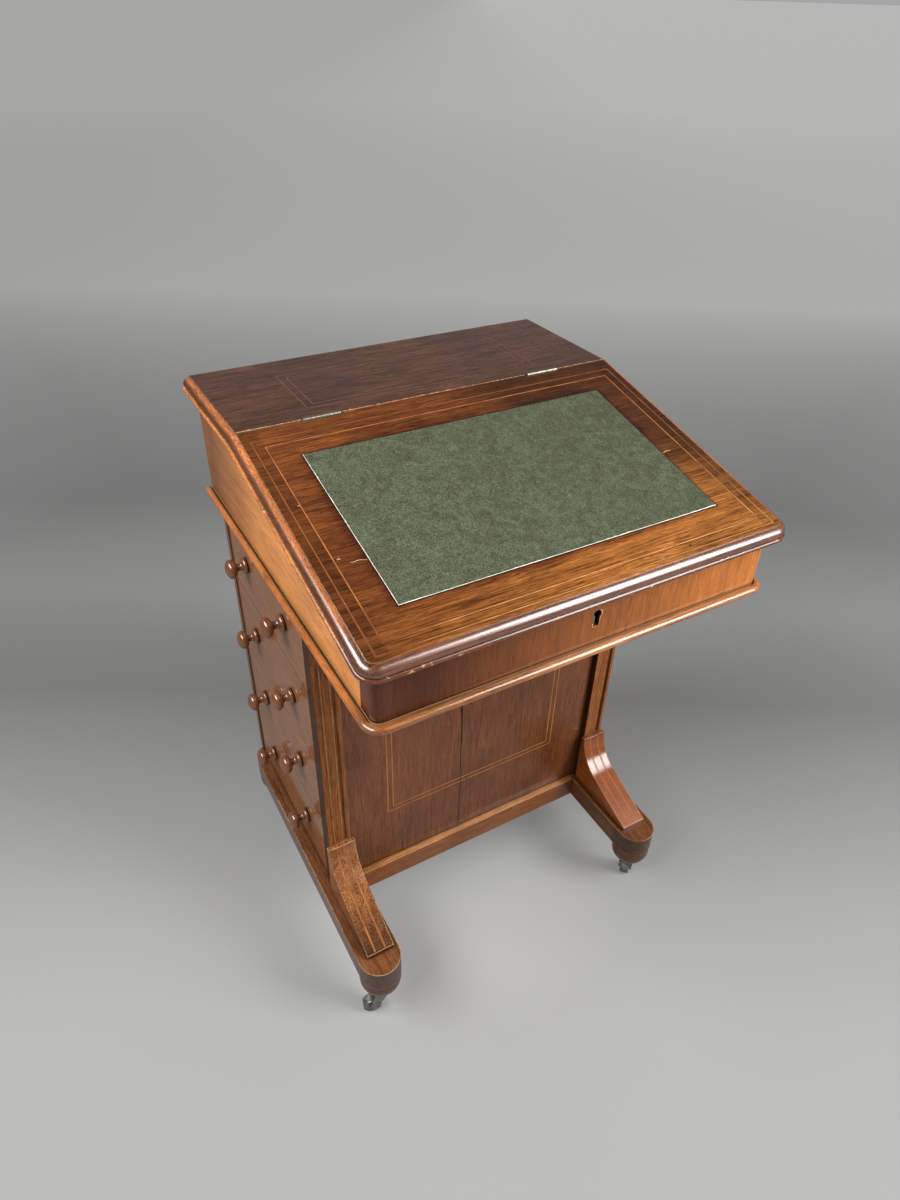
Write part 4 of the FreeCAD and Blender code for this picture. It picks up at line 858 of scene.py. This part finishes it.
class DAVENPORT_OT_pedestal(bpy.types.Operator):
    """Finish the pedestal: panels with boxwood lines, pilasters, posts and rails"""
    bl_idname = "davenport.pedestal"
    bl_label = "Pedestal"

    def execute(self, context):
        sizes, colours = chosen(context)
        polish_nodes("front_panel back_panel", "panel_veneer", colours.panel_wood, Z, contrast=0.75, wear=0.2,
                     gloss=0.18, shadow=(DOWN, -0.32, -0.14, 0.8))
        polish_nodes("right_side_panel", "side_panel_wood", colours.panel_wood, Y, contrast=0.5, wear=0.2)
        # The right pilaster is lighter than the left: painted light.
        for side, share in zip(SIDES, (1.05, 1.22)):
            outer = -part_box("pilaster_" + side)[0][0]
            polish_nodes("pilaster_" + side, "pilaster_wood_" + side, times(colours.pilaster_wood, share), Z,
                         contrast=0.8, wear=0.6, coat=0.15, grime=0.3,
                         shadow=(LEFT, outer - 0.0004, outer - 0.0002, 0.22))
        polish_nodes("rear_post_left rear_post_right", "rear_post_wood", times(colours.drawer_wood, 0.6), Z,
                     contrast=0.6, wear=0.0)
        polish_nodes("bottom_rail_front bottom_rail_back", "bottom_rail_wood", colours.pilaster_wood, X,
                     contrast=0.7, wear=2.0, faces=((UP, colours.rail_top),))
        polish_nodes("top_rails", "top_rail_wood", colours.drawer_wood, Y, contrast=0.6, wear=0.2)
        finish_nodes(lining_wood("dust_board_wood", colours.inner_wood, Y), "dust_boards")
        polish_nodes("pedestal_bottom", "pedestal_bottom_wood", colours.panel_wood, Y, contrast=0.5, wear=0.0,
                     faces=((UP, colours.inner_wood),))
        boxwood = line_wood("panel_boxwood", times(colours.boxwood, 0.95), 0.35)
        dark = dirty_crack("panel_crack", colours.dirt)
        # This glue finish also paints the shadow crescents in the pilasters' round heads.
        glue = dirty_crack("panel_glue", times(colours.panel_wood, 0.5))
        low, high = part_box("front_panel")
        foot, head = low[2] + sizes.panel_line_foot, high[2] - sizes.panel_line_head
        framed_lines("panel", {"outer": 0.0, "inner": sizes.panel_pair}, (0.0, low[1], (foot + head) / 2), RIGHT,
                     UP, sizes.panel_line_half, (head - foot) / 2, "desk", boxwood, glue, sizes.pedestal_line)
        count = 80
        share = np.linspace(0.0, 1.0, count)
        wander = 0.0012 * np.sin(share * 9) + 0.0006 * np.sin(share * 31 + 1)
        path = np.stack([wander - sizes.crack_place, np.full(count, low[1]), low[2] + (high[2] - low[2]) * share], -1)
        width = ragged(count, 0.0021, 5, low=0.6) * np.interp(share, [0.0, 0.28, 0.45, 1.0], [0.6, 0.5, 1.3, 1.8])
        rows = inlaid_run(path, RIGHT, FRONT, width, proud=0.0001, depth=0.0010)
        lofted("panel_crack", rows, "desk", dark)
        pale = line_wood("pilaster_boxwood", times(colours.bright_line, (0.58, 0.50, 0.38)), 0.5)
        self.line_pilasters(sizes, pale, glue)
        return {"FINISHED"}

    def line_pilasters(self, sizes, boxwood, dark):
        """Two lines up the hollow of each pilaster, ending under its round head, which holds a painted crescent of
        shadow.
        """
        for side in SIDES:
            low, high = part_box("pilaster_" + side)
            middle, hollow_y = (low[0] + high[0]) / 2, low[1] + sizes.niche_depth
            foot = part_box("foot_bracket_" + side)[1][2]
            rise = math.sqrt(sizes.niche_half ** 2 - (sizes.pilaster_pair / 2) ** 2)
            head = high[2] - sizes.niche_head + rise - 0.0006
            path = np.linspace((middle, hollow_y, foot), (middle, hollow_y, head), 2)
            paired_lines("pilaster", side, path, FRONT, sizes.pilaster_pair, boxwood, dark)
            # A dark crescent in each round head: painted shadow.
            turn = np.linspace(0.12, 0.88, 40) * math.pi
            outwards = np.stack([np.cos(turn), np.zeros_like(turn), np.sin(turn)], -1)
            width = 0.0090 * np.sin(turn) ** 1.5
            spring = np.array([middle, hollow_y, high[2] - sizes.niche_head])
            path = spring + outwards * (sizes.niche_half - 0.0002 - width / 2)[:, None]
            rows = inlaid_run(path, outwards, FRONT, width, sizes.line_proud * 1.5, sizes.line_depth)
            lofted("niche_dirt_" + side, rows, "desk", dark)


class DAVENPORT_OT_drawers(bpy.types.Operator):
    """Finish the drawers, their knobs and the dummy fronts"""
    bl_idname = "davenport.drawers"
    bl_label = "Drawers and knobs"

    def execute(self, context):
        colours = context.scene.davenport_finishes
        fronts = polished_wood("drawer_veneer", colours.drawer_wood, Y, contrast=0.5, wear=0.3, gloss=0.07, coat=0.8,
                               polish=1.58)
        turned = polished_wood("turned_mahogany", colours.knob_wood, X, contrast=0.6, wear=0.0, gloss=0.12, coat=1.0,
                               polish=1.95)
        walls = lining_wood("drawer_wall_wood", colours.inner_wood, X)
        bottoms = lining_wood("drawer_bottom_wood", colours.inner_wood, Y)
        parts = {"_front": fronts, "_knobs": turned, "_walls": walls, "_bottom": bottoms}
        for part, material in parts.items():
            finish_nodes(material, *("drawer_" + str(number) + part for number in range(1, 5)))
        finish_nodes(fronts, "dummy_drawer_fronts")
        finish_nodes(turned, "dummy_knobs")
        return {"FINISHED"}


class DAVENPORT_OT_feet(bpy.types.Operator):
    """Finish the sledge feet: runners, bun feet, and brackets with their boxwood lines"""
    bl_idname = "davenport.feet"
    bl_label = "Sledge feet"

    def execute(self, context):
        sizes, colours = chosen(context)
        rounded_end = 0.04
        polish_nodes("runner_left runner_right", "runner_wood", colours.foot_wood, Y, contrast=0.9, wear=2.6,
                     gloss=0.18, arris_size=0.0022, end_grain=-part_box("runner_left")[0][1] - rounded_end)
        dark_end = times(colours.bracket_wood, (0.22, 0.29, 0.52))
        front_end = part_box("foot_bracket_left")[0][1]
        # The left bracket is paler and greyer than the right: bleached wood and a painted sheen. Its darker front end
        # is a stain.
        polish_nodes("foot_bracket_left", "bracket_wood_left", times(colours.bracket_wood, (0.84, 1.30, 3.2)), Y,
                     contrast=1.5, wear=3.0, gloss=0.2, arris_size=0.0020,
                     sun=(REAR, front_end, front_end + 0.07, dark_end))
        polish_nodes("foot_bracket_right", "bracket_wood_right", times(colours.bracket_wood, (0.80, 0.82, 0.6)), Y,
                     contrast=0.9, wear=3.0, gloss=0.20, polish=1.78, arris_size=0.0022)
        polish_nodes("bun_feet", "bun_wood", colours.bun_wood, X, contrast=0.7, wear=0.4)
        lines = {"left": line_wood("bracket_boxwood", times(colours.boxwood, (0.85, 0.95, 1.3))),
                 "right": line_wood("bracket_boxwood_dark", times(colours.bracket_wood, (1.1, 1.25, 1.8)))}
        for side, share in zip(SIDES, (0.6, 0.8)):
            dark = dirty_crack("bracket_glue_" + side, times(colours.bracket_wood, share))
            low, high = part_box("foot_bracket_" + side)
            path, normals = self.bracket_face(low, high, sizes)
            path = path + np.array([(low[0] + high[0]) / 2, 0.0, 0.0])
            paired_lines("bracket", side, path, normals, sizes.bracket_pair, lines[side], dark)
        return {"FINISHED"}

    def bracket_face(self, low, high, sizes):
        """Path down a bracket's hollow face and its normals: round the cove from the ledge to where a straight
        line to the square end touches it, then along that line."""
        radius = sizes.bracket_cove
        centre = np.array([high[1] - sizes.bracket_ledge - radius, high[2]])
        end = np.array([low[1], low[2] + sizes.bracket_end])
        away = end - centre
        meet = math.atan2(away[1], away[0]) + math.acos(radius / np.linalg.norm(away))
        turn = np.linspace(-0.02, meet, 40)
        face = np.stack([np.cos(turn), np.sin(turn)], -1)
        end = end + (centre + radius * face[-1] - end) * 0.02
        flat = np.concatenate([centre + radius * face, end[None]])
        normals = np.concatenate([-face, -face[-1:]])
        level = np.zeros((len(flat), 1))
        return np.concatenate([level, flat], 1), np.concatenate([level, normals], 1)


class DAVENPORT_OT_stage(bpy.types.Operator):
    """Set up the floor, the soft light and the camera"""
    bl_idname = "davenport.stage"
    bl_label = "Floor, light and camera"

    def execute(self, context):
        scene = context.scene
        stage = scene.davenport_stage
        self.lay_floor(scene, stage)
        self.light_room(scene, stage)
        self.hang_light(scene, "light_right", place=(1.42, -1.75, 1.95), size=(1.1, 2.0), power=78.0)
        self.hang_light(scene, "light_left", place=(-1.60, -0.05, 2.15), size=(2.0, 0.9), power=62.0)
        self.place_camera(scene, stage)
        scene.view_settings.view_transform = "Standard"
        return {"FINISHED"}

    def lay_floor(self, scene, stage):
        """A wide flat square of floor paper, a little darker behind the desk and paler far away. The darker floor
        behind the desk is painted shade; a painted glow that camera rays see makes it paler far away, lays bands
        behind the desk, lifts the desk's shadow and is brighter to the right.
        """
        reach = 400.0
        mesh = bpy.data.meshes.new("floor")
        mesh.from_pydata([(-reach, -reach, 0), (reach, -reach, 0), (reach, reach, 0), (-reach, reach, 0)], [],
                         [(0, 1, 2, 3)])
        ahead, right = (0.508, 0.861, 0.0), (0.861, -0.508, 0.0)  # As the camera sees the floor
        make = Shader("floor_paper")
        away = make.dot(make.place, ahead)
        # Darker behind the desk: painted shade.
        tone = make.between(away, -0.3, 0.40, 0.27, 0.20)
        tone = make.math("ADD", tone, make.between(away, 0.40, 0.75, 0.0, 0.02))
        cloud = make.noise(scale=1.5, detail=2.0)
        tone = make.product(tone, make.between(cloud, 0.3, 0.7, 0.985, 1.015))
        make.set(Base_Color=make.scaled(toned(stage.floor_colour), tone), Roughness=0.8, Specular_IOR_Level=0.2)
        radius = make.add("ShaderNodeVectorMath", {0: make.place}, operation="LENGTH").outputs["Value"]
        far = make.math("MAXIMUM", away, make.product(radius, 0.8))
        # A glow that camera rays see, standing in for the backdrop and the room's light: painted light.
        painted_glow = make.math("ADD", make.between(far, 1.3, 3.3, 0.12, 0.41), make.between(far, 3.4, 12.0, 0.0, 0.06))
        for start, end, change in ((-0.1, 0.4, -0.09), (0.42, 0.72, 0.045), (0.78, 1.2, -0.06)):
            painted_glow = make.math("ADD", painted_glow, make.between(away, start, end, 0.0, change))
        # Lifts the desk's shadow on the floor round its middle: painted light.
        painted_glow = make.math("ADD", painted_glow, make.between(radius, 0.12, 0.33, 0.07, 0.0))
        painted_glow = make.product(painted_glow, make.ramp(right, -3.0, 3.0, 0.94, 1.17))
        seen = make.add("ShaderNodeLightPath").outputs["Is Camera Ray"]
        make.set(Emission_Color=toned(stage.floor_colour), Emission_Strength=make.product(painted_glow, seen))
        mesh.materials.append(make.material)
        floor = bpy.data.objects.new("floor", mesh)
        scene.collection.objects.link(floor)

    def light_room(self, scene, stage):
        """Soft light from all round, paler near the walls than overhead."""
        world = bpy.data.worlds.new("room")
        make = Shader("room", world)
        level = make.between(make.axis(Z), 0.05, 0.75, 0.30, 0.12)
        seen = make.add("ShaderNodeLightPath").outputs["Is Camera Ray"]
        shown = make.add("ShaderNodeMix", {0: seen, 2: level, 3: 0.38}).outputs[0]
        make.set(Color=toned(stage.room_colour), Strength=shown)
        scene.world = world

    def hang_light(self, scene, name, place, size, power):
        """Soft rectangular light that faces the desk."""
        lamp = bpy.data.lights.new(name, "AREA")
        lamp.shape = "RECTANGLE"
        lamp.size, lamp.size_y = size
        lamp.energy = power
        held = bpy.data.objects.new(name, lamp)
        scene.collection.objects.link(held)
        held.location = place
        held.rotation_euler = (Vector((0.0, 0.0, 0.7)) - Vector(place)).to_track_quat("-Z", "Y").to_euler()

    def place_camera(self, scene, stage):
        """Camera turned by its yaw, pitch and roll, with no shift."""
        yaw, pitch, roll = stage.camera_yaw, stage.camera_pitch, stage.camera_roll
        ahead = np.array([math.sin(yaw) * math.cos(pitch), math.cos(yaw) * math.cos(pitch), -math.sin(pitch)])
        flat = np.array([math.cos(yaw), -math.sin(yaw), 0.0])
        above = np.cross(flat, ahead)
        right = math.cos(roll) * flat + math.sin(roll) * above
        up = -math.sin(roll) * flat + math.cos(roll) * above
        data = bpy.data.cameras.new("camera")
        data.sensor_fit = "VERTICAL"
        data.sensor_height = 24.0
        data.lens = stage.focal_share * data.sensor_height
        data.clip_start, data.clip_end = 0.01, 1000.0
        camera = bpy.data.objects.new("camera", data)
        scene.collection.objects.link(camera)
        turned = np.eye(4)
        turned[:3, 0], turned[:3, 1], turned[:3, 2], turned[:3, 3] = right, up, -ahead, stage.camera_place
        camera.matrix_world = Matrix(turned.tolist())
        scene.camera = camera


OPERATORS = (DAVENPORT_OT_lid, DAVENPORT_OT_leather_edge, DAVENPORT_OT_flat_top, DAVENPORT_OT_box,
             DAVENPORT_OT_metalwork, DAVENPORT_OT_pedestal, DAVENPORT_OT_drawers, DAVENPORT_OT_feet,
             DAVENPORT_OT_stage)


class DAVENPORT_PT_panel(bpy.types.Panel):
    """Steps that dress the desk, in order"""
    bl_idname = "DAVENPORT_PT_panel"
    bl_label = "Davenport desk"
    bl_space_type = "VIEW_3D"
    bl_region_type = "UI"
    bl_category = "Davenport"

    def draw(self, context):
        for step in OPERATORS:
            self.layout.operator(step.bl_idname)


GROUPS = {"davenport_sizes": DavenportSizes, "davenport_finishes": DavenportFinishes,
          "davenport_stage": DavenportStage}


def register():
    """Adds the properties, the steps and the panel to Blender."""
    for name, group in GROUPS.items():
        bpy.utils.register_class(group)
        setattr(bpy.types.Scene, name, bpy.props.PointerProperty(type=group))
    for shown in OPERATORS + (DAVENPORT_PT_panel,):
        bpy.utils.register_class(shown)


def unregister():
    """Takes them out again."""
    for shown in (DAVENPORT_PT_panel,) + OPERATORS[::-1]:
        bpy.utils.unregister_class(shown)
    for name, group in GROUPS.items():
        delattr(bpy.types.Scene, name)
        bpy.utils.unregister_class(group)


def main():
    """Runs the steps in order."""
    register()
    for step in OPERATORS:
        group, name = step.bl_idname.split(".")
        getattr(getattr(bpy.ops, group), name)()


if __name__ == "__main__":
    main()
